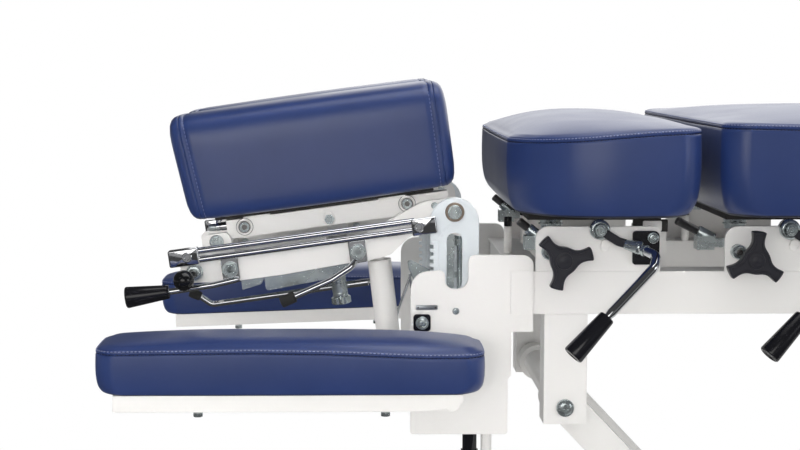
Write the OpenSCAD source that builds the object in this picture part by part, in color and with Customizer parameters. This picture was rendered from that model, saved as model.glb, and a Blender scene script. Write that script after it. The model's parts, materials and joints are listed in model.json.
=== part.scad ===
// Chiropractic table with a height lift, drop sections, a tilting head piece and folding armrests.
// X runs from the head end to the foot end, Y across the table and Z up. The floor is at zero.
// The side nearest to the reader of a front view is the -Y side, and it is called the near side.

/* [Table] */
// Length from the head end of the armrests to the foot end of the last cushion
table_len = 1900; // [1780:10:2020]
// Distance across the outer faces of the two side beams
frame_w = 350; // [340:2:380]

/* [Base] */
// Height of a base rail
rail_h = 40; // [30:1:46]
// Width of a base rail
rail_w = 60; // [40:1:80]
// Height of a foot pad under a rail
foot_h = 20; // [14:1:26]
// Diameter of a foot pad
foot_d = 50; // [36:1:56]
// Height of the lift arms' lower pivots above the floor
base_pivot_z = 74; // [72:1:84]

/* [Lift] */
// Length of a lift arm from pivot to pivot
arm_len = 520; // [500:5:540]
// Angle of the lift arms above the floor at rest
arm_angle = 46.7; // [45:0.1:49]
// Distance between the two pairs of lift arms
leg_pitch = 850; // [820:5:880]
// Depth of a lift arm tube
arm_h = 40; // [34:1:44]
// Width of a lift arm tube
arm_w = 30; // [24:1:34]
// Diameter of the pivot bolts of the lift
pivot_d = 16; // [12:1:18]

/* [Top frame] */
// Height of a side beam
beam_h = 50; // [44:1:56]
// Width of a side beam
beam_w = 40; // [34:1:46]
// Wall of the frame tubes
tube_wall = 3; // [2:0.5:4]
// Distance from a lift arm's upper pivot up to the underside of the beams
bracket_drop = 110; // [104:1:116]
// Width of a leg bracket along the table
bracket_w = 50; // [48:1:56]
// Height of a cheek plate above the beam
cheek_h = 52; // [48:1:56]
// Length of a cheek plate
cheek_len = 144; // [130:1:150]
// Thickness of the cheek plates
cheek_t = 5; // [4:0.5:6]

/* [Mast] */
// Length of a mast plate along the table
mast_w = 141; // [136:1:146]
// Height of a mast plate
mast_h = 209; // [200:1:216]
// Thickness of a mast plate
mast_t = 6; // [5:0.5:8]
// Width of a sliding elevator plate
elevator_w = 57; // [54:1:60]
// Height of an elevator plate
elevator_h = 265; // [255:1:275]
// Thickness of an elevator plate
elevator_t = 8; // [6:0.5:9]

/* [Head piece] */
// Tilt of the head piece at rest, its head end down
head_tilt = 7.8; // [4:0.1:10]
// Length of a head cushion
head_len = 327; // [300:1:332]
// Height of a head cushion
head_h = 124; // [100:1:140]
// Width of one of the two head cushions
head_w = 140; // [120:1:142]
// Half of the gap between the two head cushions, for the face
face_gap = 20; // [16:1:40]
// Diameter of a chrome guide rod
guide_d = 7.5; // [6.5:0.5:9]

/* [Armrest] */
// Length of an armrest cushion
armrest_len = 411; // [390:1:418]
// Width of an armrest cushion
armrest_w = 110; // [90:1:130]
// Height of an armrest cushion
armrest_h = 58; // [46:1:64]
// Distance from the frame's outer face to an armrest's inner side
armrest_gap = 75; // [65:1:85]
// Droop of the far armrest at rest
far_droop = 2; // [0:0.5:3]

/* [Sections] */
// Length of the chest section's cushion
thoracic_len = 212; // [204:1:216]
// Length of the waist section's cushion
lumbar_len = 334; // [320:1:346]
// Length of the hip section's cushion
pelvic_len = 350; // [330:1:370]
// Gap between the chest and waist cushions
first_gap = 20; // [16:1:26]
// Gap between the other cushions
section_gap = 20; // [16:1:26]
// Half width of the cushions at the hips
cushion_half = 260; // [240:1:280]
// Half width of the chest cushion at its head end
shoulder_half = 196; // [190:1:240]
// Height of the chest cushion at its middle
thoracic_h = 112; // [104:1:118]
// Height of the other section cushions at their middle
cushion_h = 118; // [108:1:122]
// Thickness of the boards under the cushions
board_t = 12; // [9:1:13]

/* [Hidden] */

// Colours
white_paint = [0.93, 0.92, 0.90];
plate_white = [0.86, 0.90, 0.92];
zinc = [0.70, 0.75, 0.78];
chrome = [0.80, 0.82, 0.85];
black = [0.06, 0.06, 0.07];
navy = [0.11, 0.14, 0.30];

// Shared values: overrun of the cuts, clearances, and facets
over = 1;
seat_gap = 0.3;
pin_clear = 0.05;
hole_clear = 0.1;
side_gap = 1;
$fn = 48;
hull_fn = 32;

// Places along the table
x_head = -table_len / 2;
x_foot = table_len / 2;
armrest_past = 21;
pivot_x = x_head + armrest_len - armrest_past;
bracket_from_pivot = 128;
top_pivot_x = pivot_x + bracket_from_pivot;
top_pivot_z = base_pivot_z + arm_len * sin(arm_angle);
base_pivot_x = top_pivot_x + arm_len * cos(arm_angle);
beam_z = top_pivot_z + bracket_drop;
beam_top = beam_z + beam_h;
frame_half = frame_w / 2;
beam_in = frame_half - beam_w;
pivot_rise = 116.5;
pivot_z = beam_z + pivot_rise;

// Base frame
rail_inset = 30;
rail_in = frame_half - rail_inset;
rail_wall = 3;
rail_head_reach = 398;
rail_foot_reach = 92;
rail_x0 = base_pivot_x - rail_head_reach;
rail_x1 = base_pivot_x + leg_pitch + rail_foot_reach;
rail_top = foot_h + rail_h;
crossbar_w = 40;
crossbar_h = 30;
foot_inset = 30;
foot_x = [rail_x0 + foot_inset, rail_x1 - foot_inset];
stem_d = 12;
stem_seat = 12;
pad_lip = 6;
pad_taper = 4;
lug_t = 8;
lug_w = 50;
bolt_head_h = 8;
bolt_head_d = 23;
bolt_end = 6;
arm_gap = 3;
arm_out = beam_in - arm_gap;
arm_in = arm_out - arm_w;
arm_wall = 2.5;
eye_lip = 6;
eye_d = arm_h + eye_lip;
cross_tube_d = 34;
cross_tube_share = 0.5;

// Lift actuator: its crank on the head legs and its anchor on the base
crank_r = 160;
crank_angle = 70;
anchor_from_pivot = 237.6;
anchor_z = 74;
anchor_x = base_pivot_x - anchor_from_pivot;
crank_x = base_pivot_x + crank_r * cos(crank_angle);
crank_z = base_pivot_z + crank_r * sin(crank_angle);
actuator_len = norm([crank_x - anchor_x, crank_z - anchor_z]);
actuator_angle = atan2(crank_z - anchor_z, crank_x - anchor_x);
barrel_d = 48;
barrel_bore = 34;
barrel_reach = 213;
barrel_start = 30;
bore_end = 80;
rod_d = 22;
rod_len = 172;
link_pin_d = 12;
link_eye_d = 28;
crank_t = 8;
crank_w = 44;
crank_side = 3;
crank_gap = barrel_d / 2 + crank_side;
clevis_half = 18;
clevis_t = 8;
motor_len = 84;
motor_h = 56;
motor_start = 40;
motor_w = 46;

// Leg brackets and crossbars of the top frame
bracket_low = 19.4;
beam_head_over = 67;
beam_foot_inset = 50;
beam_x0 = pivot_x + beam_head_over;
beam_x1 = x_foot - beam_foot_inset;
beam_bar_w = 40;
bar_shares = [0, 0.33, 0.62, 1];
riser_w = 30;
riser_shares = [0.2, 0.8];
flange_d = 20;
flange_h = 4;
shank_past = 4;

// Sections, from the head end: start, cushion length, start of the cheek plates
thoracic_from_pivot = 57;
thoracic_x = pivot_x + thoracic_from_pivot;
lumbar_x = thoracic_x + thoracic_len + first_gap;
pelvic_x = lumbar_x + lumbar_len + section_gap;
leg_x = pelvic_x + pelvic_len + section_gap;
leg_len = x_foot - leg_x;
cheek_insets = [35, 21.5, 30];
knob_turns = [15, 85, 40];
// Edge heights of the cushions at their head and foot ends
section_edges = [[88, 101], [107, 98], [98, 98]];
section_starts = [thoracic_x, lumbar_x, pelvic_x];
section_lengths = [thoracic_len, lumbar_len, pelvic_len];
// Each section's start, length, cheek plates' start and the angle of its tension knob
sections = [for (i = [0 : len(cheek_insets) - 1])
    [section_starts[i], section_lengths[i], section_starts[i] + cheek_insets[i], knob_turns[i]]];
hinge_inset = 40;
hinge_rise = 43;
hinge_pin_d = 10;
hinge_z = beam_top + hinge_rise;
board_rise = 57;
board_z = beam_top + board_rise;
board_side_gap = 20;
board_half = frame_half - cheek_t - board_side_gap;
board_inset = 28;
lug_plate_t = 8;
lug_plate_w = 40;
stand_gap = side_gap;
stand_t = board_half - lug_plate_t - stand_gap - beam_in;
stand_top_gap = 5;
cushion_z = board_z + board_t;

// Tension knob, cam lever, trunnion and stop bracket of a section, from the cheek plate's corner
knob_at = [28.5, 16];
knob_r = 32;
knob_t = 18;
knob_hub_d = 24;
knob_arm_w = 13;
knob_stand = 18;
stud_d = 8;
cam_at = [72.5, 49];
cam_d = 22;
cam_t = 12;
cam_bump_r = 11;
cam_pin_d = 10;
cam_head_h = 3;
lever_arm_w = 12;
lever_arm_t = 6;
lever_d = 10;
bend_swell = 0.6;
socket_at = [46, -20];
socket_d = 20;
socket_h = 16;
elbow_at = [57, -27];
elbow_out = 42;
elbow_low_at = [53, -38];
elbow_low_out = 52;
grip_top_at = [0, -91];
grip_top_out = 70;
grip_end_at = [-40, -133];
grip_end_out = 80;
grip_top_d = 17;
grip_end_d = 26;
socket_out = 22;
trunnion_backs = [2, 21, 12];
trunnion_rise = 32;
trunnion_w = 20;
trunnion_h = 16;
trunnion_len = 20;
rod_end_backs = [18, 53, 36];
rod_end_rise = 57;
rod_root_rise = 36;
thread_d = 9;
sleeve_d = 13;
sleeve_len = 20;
strap_h = 10;
strap_t = 3;
stop_at = [111, 8];
stop_w = 31;
stop_h = 39;
stop_t = 5;
white_button_at = [80, 32];
white_button_d = 10;
white_button_h = 3;
bumper_d = 10;
bumper_h = 12;
drop_at_bumper = 11;
bumper_from_cheek = 20;
bumper_z = board_z - drop_at_bumper - bumper_h;

// Mast, elevator and spindles
mast_foot_share = 0.797;
gauge_share = 0.69;
square_share = 0.58;
mast_back = 52;
mast_x = pivot_x - mast_back;
mast_up = 19.5;
mast_z = beam_top + mast_up - mast_h;
elevator_right = 28.5;
elevator_x = pivot_x + elevator_right - elevator_w;
elevator_top_gap = 16.5;
elevator_z = pivot_z + elevator_top_gap - elevator_h;
elevator_inset = 23;
elevator_out = frame_half - elevator_inset;
elevator_in = elevator_out - elevator_t;
slot_w = 18;
slot_len = 68;
slot_drop = 24;
rack_w = 10;
rack_len = 148;
rack_drop = 34;
rack_top = pivot_z - rack_drop;
rack_pitch = 8.6;
rack_tooth = 4.4;
rack_depth = 4.2;
tie_d = 25;
tie_from_edge = 14.5;
tie_rise = 25;
tie_step = 105;
strut_inset = 73;
strut_y = frame_half - strut_inset;
head_bolt_d = 12;
hex_d = 15;
hex_h = 8;
washer_d = 22;
washer_t = 1.5;
nut_h = 7;
spindle_d = 7;
spindle_from_pivot = 8;
spindle_past = 25;
spindle_nut_d = 13;
spindle_nut_h = 9;
spindle_inset = 51;
spindle_y = frame_half - spindle_inset;
spindle_bracket_t = 8;
spindle_bracket_w = 16;
spindle_x = pivot_x + spindle_from_pivot;
spindle_up = 8;
tie_bar_w = 24;
tie_bar_up = 7;
tie_bar_back = 2;
tie_bar_x = mast_x + mast_foot_share * mast_w - tie_bar_w - tie_bar_back;
guide_bar_w = 20;
guide_bar_h = 100;
guide_bar_up = 12;
clamp_from_pivot = 21;
clamp_x = pivot_x + clamp_from_pivot;
clamp_tab_t = 8;
clamp_inset = 53;
clamp_y = frame_half - clamp_inset;
clamp_d = 17;
clamp_flange_d = 24;
clamp_h = 20;
clamp_drop = 12;
clamp_rod_d = 8;
clamp_nose = 20;
pad_x_back = 26;
pad_h = 51;
pad_t = 3;
pad_drop = 24;
gauge_screw_d = 5;
square_w = 20;
square_t = 3;
link_post_d = 13;
link_post_drop = 38;

// Head frame, in its own axes from the tilt bolt: along the frame, across, and square to it
head_arm_t = 12;
head_arm_out = elevator_in - side_gap;
head_arm_in = head_arm_out - head_arm_t;
hook_t = 6;
head_arm_len = 326;
arm_low = -46;
ear_top = 12;
arm_end_a = -128;
crossbar_low = -44;
crossbar_size = 24;
bar_head_a = -302;
bar_pivot_a = -154;
tray_side_gap = 6;
tray_out = head_arm_in - tray_side_gap;
tray_w = 20;
tray_low = 2;
tray_h = 22;
tray_head_a = -267;
tray_foot_a = -4;
tray_pin_at = [-22, 10];
tray_pin_d = 8;
guide_mid = -7.5;
guide_pitch = 10;
guide_inset = 9;
guide_out = frame_half - guide_inset;
block_t = 12;
left_block_a = -334;
left_block_w = 34;
right_block_a = -52;
right_block_w = 28;
block_h = 19;
right_block_drop = 2;
block_stud_d = 10;
left_stud_a = -312;
right_stud_a = -44;
tab_w = 32;
tab_t = 2;
tab_over = 6;
tab_a = [-246, -86];
screw_d = 12;
screw_h = 4;
tray_screw_at = [[-246, 14], [-53, 15]];
nut_stud_at = [-146, 13];
head_board_t = 4;
head_board_inset = 28;
head_over = 8;
head_board_z = tray_low + tray_h + tab_t + seat_gap;
head_cushion_z = head_board_z + head_board_t;

// Head mechanism: cam bolts, plates, cylinder, strut and the small levers
cam_one_at = [-268, -31];
cam_two_at = [-118, -31];
cam_square_w = 20;
cam_square_h = 26;
cam_square_t = 4;
cam_bolt_d = 10;
cam_hex_d = 14.5;
cam_hex_h = 6;
lever_rod_d = 6.5;
lever_seat_share = 0.4;
rod_out = head_arm_out + cam_square_t + lever_rod_d * lever_seat_share;
lever_rod_end_a = -352;
lever_rod_drop = -16;
grip_a = [-342, -393];
head_grip_d = [16, 25];
plunger_at = [-310, -29];
plunger_d = 18;
plunger_h = 12;
ball_shaft_d = 8;
ball_d = 24;
ball_out = 42;
ball_shift = [-9, -3];
bail_pin_at = [-97, -83];
bail_root_b = -32;
bail_d = 6;
bail_pin_d = 8;
bail_inset = 107;
bail_y = head_arm_out - bail_inset;
bail_eye_d = 17;
bail_eye_w = 10;
bail_run_a = -308;
bail_run_b = -83.5;
bail_tip_at = [-322, -71];
bail_cap_d = 13;
bail_cap_len = 20;
bail_lug_w = 18;
bail_lug_t = 5;
bail_lug_y = -bail_y + bail_eye_w / 2 + side_gap;
short_tip_at = [-196, -72];
short_cap_len = 18;
short_cap_d = 13;
deck_t = 3;
deck_a = [-296, -128];
deck_inset = 35;
deck_half = head_arm_in - deck_inset;
deck_b = crossbar_low;
deck_flanges = [[34, 27, 20], [62, 104, 25]];
cylinder_step = 26;
cylinder_a = -147;
cylinder_y = bail_y + cylinder_step;
cylinder_d = 18;
cylinder_len = 46;
cylinder_nut_d = 24;
cylinder_nut_h = 8;
strut_at = [-94, -32];
strut_d = 28;
strut_bore = 25;
strut_len = 120;
strut_bore_from = 22;
strut_shoulder = 17;
strut_rod_d = 10;
strut_rod_len = 112;
strut_pin_d = 10;
strut_foot_back = 69;
strut_foot_up = 40;
strut_foot_x = pivot_x - strut_foot_back;
strut_foot_z = elevator_z + strut_foot_up;
strut_eye_d = 22;
strut_eye_w = 14;
strut_lug_t = 5;

// Armrests
armrest_in = frame_half + armrest_gap;
armrest_drop = 56;
armrest_z = beam_z - armrest_drop;
armrest_edges = [47, 45];
tray_t = 18;
tray_wall = 2;
tray_inset = 5;
tray_end_gap = 20;
tray_foot_gap = 24;
arm_pivot_from_end = 36;
arm_pivot_x = x_head + armrest_len - arm_pivot_from_end;
arm_pivot_drop = 9;
arm_pivot_z = armrest_z - seat_gap - arm_pivot_drop;
spindle_arm_d = 12;
boss_d = 17.4;
tray_curve = [52, 12];
spacer_d = 18;
boss_len = 60;
arm_screw_shares = [0.225, 0.857];
arm_screw_d = 10;
arm_screw_h = 3;

// Control box under the foot end
box_len = 190;
box_half = 92;
box_h = 74;
inlet_w = 28;
inlet_h = 22;
inlet_t = 4;

// Outlines as shares of a plate's length and height, with each corner's radius as a share of its length
mast_shares = [
    [0, 0, 0.02], [0, 0.905, 0.2], [0.28, 0.915, 0.04], [0.28, 0.812, 0.09], [0.469, 0.812, 0.09],
    [0.469, 1, 0.06], [1, 1, 0.085], [1, 0.574, 0.01], [0.826, 0.574, 0.01], [0.826, 0.33, 0.02],
    [mast_foot_share, 0.31, 0.02], [mast_foot_share, 0, 0.02]
];
hook_shares = [
    [1, 0.12, 0.13], [1, 0.945, 0.13], [0.63, 0.945, 0.25], [0.03, 0.42, 0.02], [0, 0.42, 0.01], [0, 0, 0.01],
    [0.32, 0.08, 0.15], [0.5, 0.38, 0.2], [0.72, 0.42, 0.2]
];
hook_len = 147;
hook_h = 66;
arm_shares = [
    [0, 0.1, 0.05], [0, 0.62, 0.04], [0.14, 0.62, 0.02], [0.17, 1, 0.04], [0.31, 1, 0.04], [0.34, 0.48, 0.02],
    [1, 0.48, 0], [1, 0.05, 0], [0.6, 0, 0.1], [0.3, 0, 0.1]
];
flange_shares = [[0, 0, 0.04], [0, 1, 0], [1, 1, 0], [1, 0.45, 0.04], [0.86, 0.2, 0.1]];
knob_shares = [[0, -0.5, 0], [0.5, -0.35, 0.2], [0.88, -0.5, 0.05], [1, 0, 0.05], [0.88, 0.5, 0.05],
    [0.5, 0.35, 0.2], [0, 0.5, 0]];
knob_arm_share = 0.7;
stop_shares = [[0, 0, 0.12], [0, 1, 0.12], [1, 1, 0.2], [1, 0, 0.12]];
square_shares = [[0, 0, 0.2], [0, 1, 0.2], [1, 1, 0.2], [1, 0, 0.2]];
corner_share = 0.1;
cheek_shares = [[0, 0, 0], [0, 1, corner_share], [1, 1, corner_share / 2], [1, 0, 0]];
elevator_shares = [[0, 0, 0.1], [0, 1, 0.499], [1, 1, 0.499], [1, 0, 0.1]];
// Each ring of a cushion: height, draw-in at the sides, draw-in at the ends, height over the edge
ring_shares = [
    [0, 0.08, 0.14, 0], [0.03, 0.048, 0.115, 0], [0.1, 0.024, 0.075, 0], [0.24, 0.005, 0.03, 0],
    [0.45, -0.006, 0, 0], [0.7, -0.007, -0.004, 0], [0.88, 0, 0, 0], [0.92, 0.007, 0.007, 0],
    [0.95, 0.005, 0.005, 0], [1, 0.03, 0.03, 0]
];
// Each ring of the crown: shrink towards the middle, and height over the edge
crown_shares = [[0.06, 0.27], [0.2, 0.62], [0.5, 0.92]];
crown_edge_share = 0.03;
outline_points = 36;
outline_side_steps = 4;
outline_corner_share = 0.36;
head_ring_shares = [
    [0, 0.14], [0.012, 0.05], [0.03, 0.012], [0.045, 0.02], [0.06, 0.006], [0.5, 0],
    [0.94, 0.006], [0.955, 0.02], [0.97, 0.012], [0.988, 0.05], [1, 0.14]
];
head_power_share = 0.42;
head_base_power_share = 0.2;
head_slant_share = 0.1;

// Points and outlines
function unit(v) = v / norm(v);
function arc_corner(a, b, c, r, n = 6) =
    r == 0 ? [b] :
    let (u = unit(a - b), v = unit(c - b), half = acos(u * v) / 2,
         t = min(r / tan(half), 0.49 * min(norm(a - b), norm(c - b))),
         rr = t * tan(half), m = b + unit(u + v) * rr / sin(half),
         s = b + u * t - m, e = b + v * t - m,
         from = atan2(s.y, s.x), turn = (atan2(e.y, e.x) - from + 540) % 360 - 180)
    [for (i = [0 : n]) m + rr * [cos(from + turn * i / n), sin(from + turn * i / n)]];
function rounded(shares, w, h) =
    let (n = len(shares), p = [for (s = shares) [s.x * w, s.y * h]])
    [for (i = [0 : n - 1])
        each arc_corner(p[(i + n - 1) % n], p[i], p[(i + 1) % n], shares[i].z * w)];
function signed_power(v, power) = sign(v) * pow(abs(v), power);
function smooth(t) = let (u = max(0, min(1, t))) u * u * (3 - 2 * u);

// Basic pieces
module both_sides() {
    children();
    mirror([0, 1, 0]) children();
}
module box(low, high) {
    translate(low) cube(high - low);
}
module tube_x(low, high, wall) {
    difference() {
        box(low, high);
        box([low.x - over, low.y + wall, low.z + wall], [high.x + over, high.y - wall, high.z - wall]);
    }
}
module tube_y(low, high, wall) {
    difference() {
        box(low, high);
        box([low.x + wall, low.y - over, low.z + wall], [high.x - wall, high.y + over, high.z - wall]);
    }
}
module tube_z(low, high, wall) {
    difference() {
        box(low, high);
        box([low.x + wall, low.y + wall, low.z - over], [high.x - wall, high.y - wall, high.z + over]);
    }
}
// Cylinder across the table at x, z, between two places in y
module pin_y(at, from, to, d) {
    translate([at.x, to, at.y]) rotate([90, 0, 0]) cylinder(h = to - from, d = d);
}
module hex_y(at, from, to, d) {
    translate([at.x, to, at.y]) rotate([90, 0, 0]) cylinder(h = to - from, d = d, $fn = 6);
}
// Flat plate with an outline in x and z, from y towards the near side
module plate_y(points, y, t) {
    translate([0, y, 0]) rotate([90, 0, 0]) linear_extrude(t) polygon(points);
}
module bar(from, to, d, end_d = 0) {
    way = to - from;
    length = norm(way);
    translate(from)
        rotate([0, acos(way.z / length), atan2(way.y, way.x)])
            cylinder(h = length, d1 = d, d2 = end_d == 0 ? d : end_d);
}
// Two ears that hold a pin of the tilt strut, each reaching back to a tube at its root
module strut_lugs(pin, root) {
    for (side = [-1, 1]) {
        y = -strut_y + side * (strut_eye_w / 2 + side_gap) - (side < 0 ? strut_lug_t : 0);
        difference() {
            hull() for (at = [pin, root]) pin_y(at, y, y + strut_lug_t, strut_eye_d, $fn = hull_fn);
            pin_y(pin, y - over, y + strut_lug_t + over, strut_pin_d + hole_clear);
        }
    }
}
module head_frame() {
    translate([pivot_x, 0, pivot_z]) rotate([0, -head_tilt, 0]) children();
}
// Closed skin through rings of equally many points, with a middle point at both ends
module loft(rings, first, last) {
    n = len(rings[0]);
    m = len(rings);
    points = concat([for (r = rings) each r], [first, last]);
    faces = concat(
        [for (k = [0 : m - 2], i = [0 : n - 1]) each [
            [k * n + i, k * n + (i + 1) % n, (k + 1) * n + i],
            [k * n + (i + 1) % n, (k + 1) * n + (i + 1) % n, (k + 1) * n + i]
        ]],
        [for (i = [0 : n - 1]) [m * n, (i + 1) % n, i]],
        [for (i = [0 : n - 1]) [(m - 1) * n + i, (m - 1) * n + (i + 1) % n, m * n + 1]]
    );
    polyhedron([for (p = points) [p.x, p.y, p.z]], [for (f = faces) [f[2], f[1], f[0]]]);
}
// Flat cushion with drawn-in sides, an edge seam and a crown, on x from zero and z from zero. Its edge can be
// higher at one end than at the other, and its head end narrower.
module flat_cushion(length, start_half, full_half, edges, top, flare_share = 0.45) {
    corner = min(edges[0], edges[1]) * outline_corner_share;
    function along_side(v) = max(-1, min(1, v * outline_side_steps));
    function half_at(x) = start_half + (full_half - start_half) * smooth(x / (length * flare_share));
    function edge_at(x) = edges[0] + (edges[1] - edges[0]) * smooth(x / length);
    function ring(h, side, end, crown, k = 1) = let (
        in_y = side * edges[0], in_x = end * edges[0], r = corner + in_x)
        [for (i = [0 : outline_points - 1]) let (
            turn = 360 * (i + 0.5) / outline_points,
            x = length / 2 + (length / 2 - in_x - r) * along_side(cos(turn)) + r * cos(turn),
            y = (half_at(x) - in_y - r) * along_side(sin(turn)) + r * sin(turn),
            edge = edge_at(x))
            [length / 2 + (x - length / 2) * k, y * k, h * edge + crown * (top - edge)]];
    rings = concat(
        [for (s = ring_shares) ring(s[0], s[1], s[2], s[3])],
        [for (s = crown_shares) ring(1, crown_edge_share, crown_edge_share, s[1], 1 - s[0])]);
    loft(rings, [length / 2, 0, 0], [length / 2, 0, top]);
}
// Head cushion: a block with end panels, along x from zero, y and z from zero
module head_block(length, width, height) {
    rings = [for (s = head_ring_shares)
        [for (i = [0 : outline_points - 1]) let (
            turn = 360 * (i + 0.5) / outline_points,
            inset = s.y * height,
            power = sin(turn) < 0 ? head_base_power_share : head_power_share,
            y = width / 2 + (width / 2 - inset) * signed_power(cos(turn), power),
            z = height / 2 + (height / 2 - inset) * signed_power(sin(turn), power),
            slant = head_slant_share * (height - z) * (1 - s.x))
            [s.x * length + slant, y, z]]];
    loft(rings, [head_slant_share * height / 2, width / 2, height / 2], [length, width / 2, height / 2]);
}

// Base frame
module base_rails() {
    color(white_paint) both_sides()
        tube_x([rail_x0, -rail_in - rail_w, foot_h], [rail_x1, -rail_in, rail_top], rail_wall);
}
crossbar_x = [rail_x0 + crossbar_w / 2, anchor_x - crossbar_w / 2, base_pivot_x + leg_pitch / 2,
    rail_x1 - 1.5 * crossbar_w];
module base_crossbars() {
    color(white_paint) {
        for (x = crossbar_x)
            tube_y([x, -rail_in, foot_h], [x + crossbar_w, rail_in, foot_h + crossbar_h], rail_wall);
        both_sides() difference() {
            union() {
                box([anchor_x - clevis_half, -link_eye_d / 2 - side_gap - clevis_t, foot_h + crossbar_h],
                    [anchor_x + clevis_half, -link_eye_d / 2 - side_gap, anchor_z]);
                pin_y([anchor_x, anchor_z], -link_eye_d / 2 - side_gap - clevis_t,
                    -link_eye_d / 2 - side_gap, 2 * clevis_half);
            }
            pin_y([anchor_x, anchor_z], -link_eye_d / 2 - side_gap - clevis_t - over,
                -link_eye_d / 2 - side_gap + over, link_pin_d + hole_clear);
        }
    }
}
module base_lugs() {
    color(white_paint) both_sides() for (x = [base_pivot_x, base_pivot_x + leg_pitch])
        difference() {
            union() {
                box([x - lug_w / 2, -rail_in, foot_h], [x + lug_w / 2, -rail_in + lug_t, base_pivot_z]);
                pin_y([x, base_pivot_z], -rail_in, -rail_in + lug_t, lug_w);
            }
            pin_y([x, base_pivot_z], -rail_in - over, -rail_in + lug_t + over, pivot_d + hole_clear);
        }
}
module base_bolts() {
    color(zinc) {
        both_sides() for (x = [base_pivot_x, base_pivot_x + leg_pitch]) {
            pin_y([x, base_pivot_z], -rail_in, -arm_in + bolt_end, pivot_d);
            hex_y([x, base_pivot_z], -rail_in - bolt_head_h, -rail_in, bolt_head_d);
        }
        pin_y([anchor_x, anchor_z], -link_eye_d / 2 - clevis_t - bolt_end,
            link_eye_d / 2 + clevis_t + bolt_end, link_pin_d);
    }
}
module foot_pads() {
    color(black) both_sides() for (x = foot_x) translate([x, -rail_in - rail_w / 2, 0]) {
        cylinder(h = pad_lip, d = foot_d);
        translate([0, 0, pad_lip])
            cylinder(h = stem_seat - pad_lip, d1 = foot_d, d2 = foot_d - 4 * pad_taper);
    }
}
module foot_stems() {
    color(zinc) both_sides() for (x = foot_x) translate([x, -rail_in - rail_w / 2, stem_seat])
        cylinder(h = foot_h - stem_seat, d = stem_d);
}

// Lift arms: a tube with an eye at each end
module lift_arm() {
    difference() {
        union() {
            tube_x([eye_d / 2 - tube_wall, -arm_out, -arm_h / 2],
                [arm_len - eye_d / 2 + tube_wall, -arm_in, arm_h / 2], arm_wall);
            for (x = [0, arm_len]) pin_y([x, 0], -arm_out, -arm_in, eye_d);
        }
        for (x = [0, arm_len]) pin_y([x, 0], -arm_out - over, -arm_in + over, pivot_d + 2 * pin_clear);
    }
}
module lift_tube(x, d) {
    difference() {
        pin_y([x, 0], -arm_in, arm_in, d);
        pin_y([x, 0], -arm_in - over, arm_in + over, d - 2 * tube_wall);
    }
}
module leg_pair(x) {
    translate([x, 0, base_pivot_z]) rotate([0, arm_angle - 180, 0]) {
        both_sides() lift_arm();
        for (at = [0, cross_tube_share, 1]) lift_tube(at * arm_len, cross_tube_d);
    }
}
module head_legs() {
    color(white_paint) {
        leg_pair(base_pivot_x);
        both_sides() difference() {
            hull() for (at = [[crank_x, crank_z], [base_pivot_x, base_pivot_z]])
                pin_y(at, -crank_gap - crank_t, -crank_gap, crank_w, $fn = hull_fn);
            pin_y([crank_x, crank_z], -crank_gap - crank_t - over, -crank_gap + over,
                link_pin_d + hole_clear);
            pin_y([base_pivot_x, base_pivot_z], -crank_gap - crank_t - over, -crank_gap + over,
                cross_tube_d);
        }
        pin_y([crank_x, crank_z], -crank_gap - crank_t - bolt_end, crank_gap + crank_t + bolt_end,
            link_pin_d);
    }
}
module foot_legs() {
    color(white_paint) leg_pair(base_pivot_x + leg_pitch);
}

// Lift actuator, in two halves that slide in each other
module along_actuator() {
    translate([anchor_x, 0, anchor_z]) rotate([0, -actuator_angle, 0]) children();
}
module actuator_barrel() {
    color(black) along_actuator() {
        difference() {
            union() {
                translate([actuator_len - barrel_reach, 0, 0]) rotate([0, 90, 0])
                    cylinder(h = barrel_reach - barrel_start, d = barrel_d);
                pin_y([actuator_len, 0], -crank_gap + side_gap, crank_gap - side_gap, link_eye_d);
                box([actuator_len - barrel_start - over, -clevis_t, -clevis_t],
                    [actuator_len, clevis_t, clevis_t]);
            }
            translate([actuator_len - barrel_reach - over, 0, 0]) rotate([0, 90, 0])
                cylinder(h = barrel_reach - bore_end + over, d = barrel_bore);
            pin_y([actuator_len, 0], -crank_gap, crank_gap, link_pin_d + 2 * pin_clear);
        }
        box([actuator_len - motor_start - motor_len, -motor_w / 2, barrel_d / 2],
            [actuator_len - motor_start, motor_w / 2, barrel_d / 2 + motor_h]);
    }
}
module actuator_rod() {
    color(chrome) along_actuator() difference() {
        union() {
            rotate([0, 90, 0]) cylinder(h = rod_len, d = rod_d);
            pin_y([0, 0], -link_eye_d / 2, link_eye_d / 2, link_eye_d);
        }
        pin_y([0, 0], -link_eye_d, link_eye_d, link_pin_d + 2 * pin_clear);
    }
}

// Top frame
module side_beams() {
    color(white_paint) both_sides()
        tube_x([beam_x0, -frame_half, beam_z], [beam_x1, -beam_in, beam_top], tube_wall);
}
module beam_crossbars() {
    color(white_paint) {
        for (share = bar_shares) let (x = beam_x0 + share * (beam_x1 - beam_x0 - beam_bar_w))
            tube_y([x, -beam_in, beam_z], [x + beam_bar_w, beam_in, beam_top], tube_wall);
        both_sides() for (share = riser_shares)
            let (x = leg_x + share * (beam_x1 - leg_x) - riser_w / 2)
            tube_z([x, -board_half, beam_top], [x + riser_w, -board_half + riser_w, board_z], tube_wall);
    }
}
module leg_brackets() {
    color(white_paint) both_sides() for (x = [top_pivot_x, top_pivot_x + leg_pitch]) difference() {
        tube_z([x - bracket_w / 2, -frame_half, top_pivot_z - bracket_low],
            [x + bracket_w / 2, -beam_in, beam_z], tube_wall);
        pin_y([x, top_pivot_z], -frame_half - over, -beam_in + over, pivot_d + hole_clear);
    }
}
function hinge_x(s) = s[0] + s[1] - hinge_inset;
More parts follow.
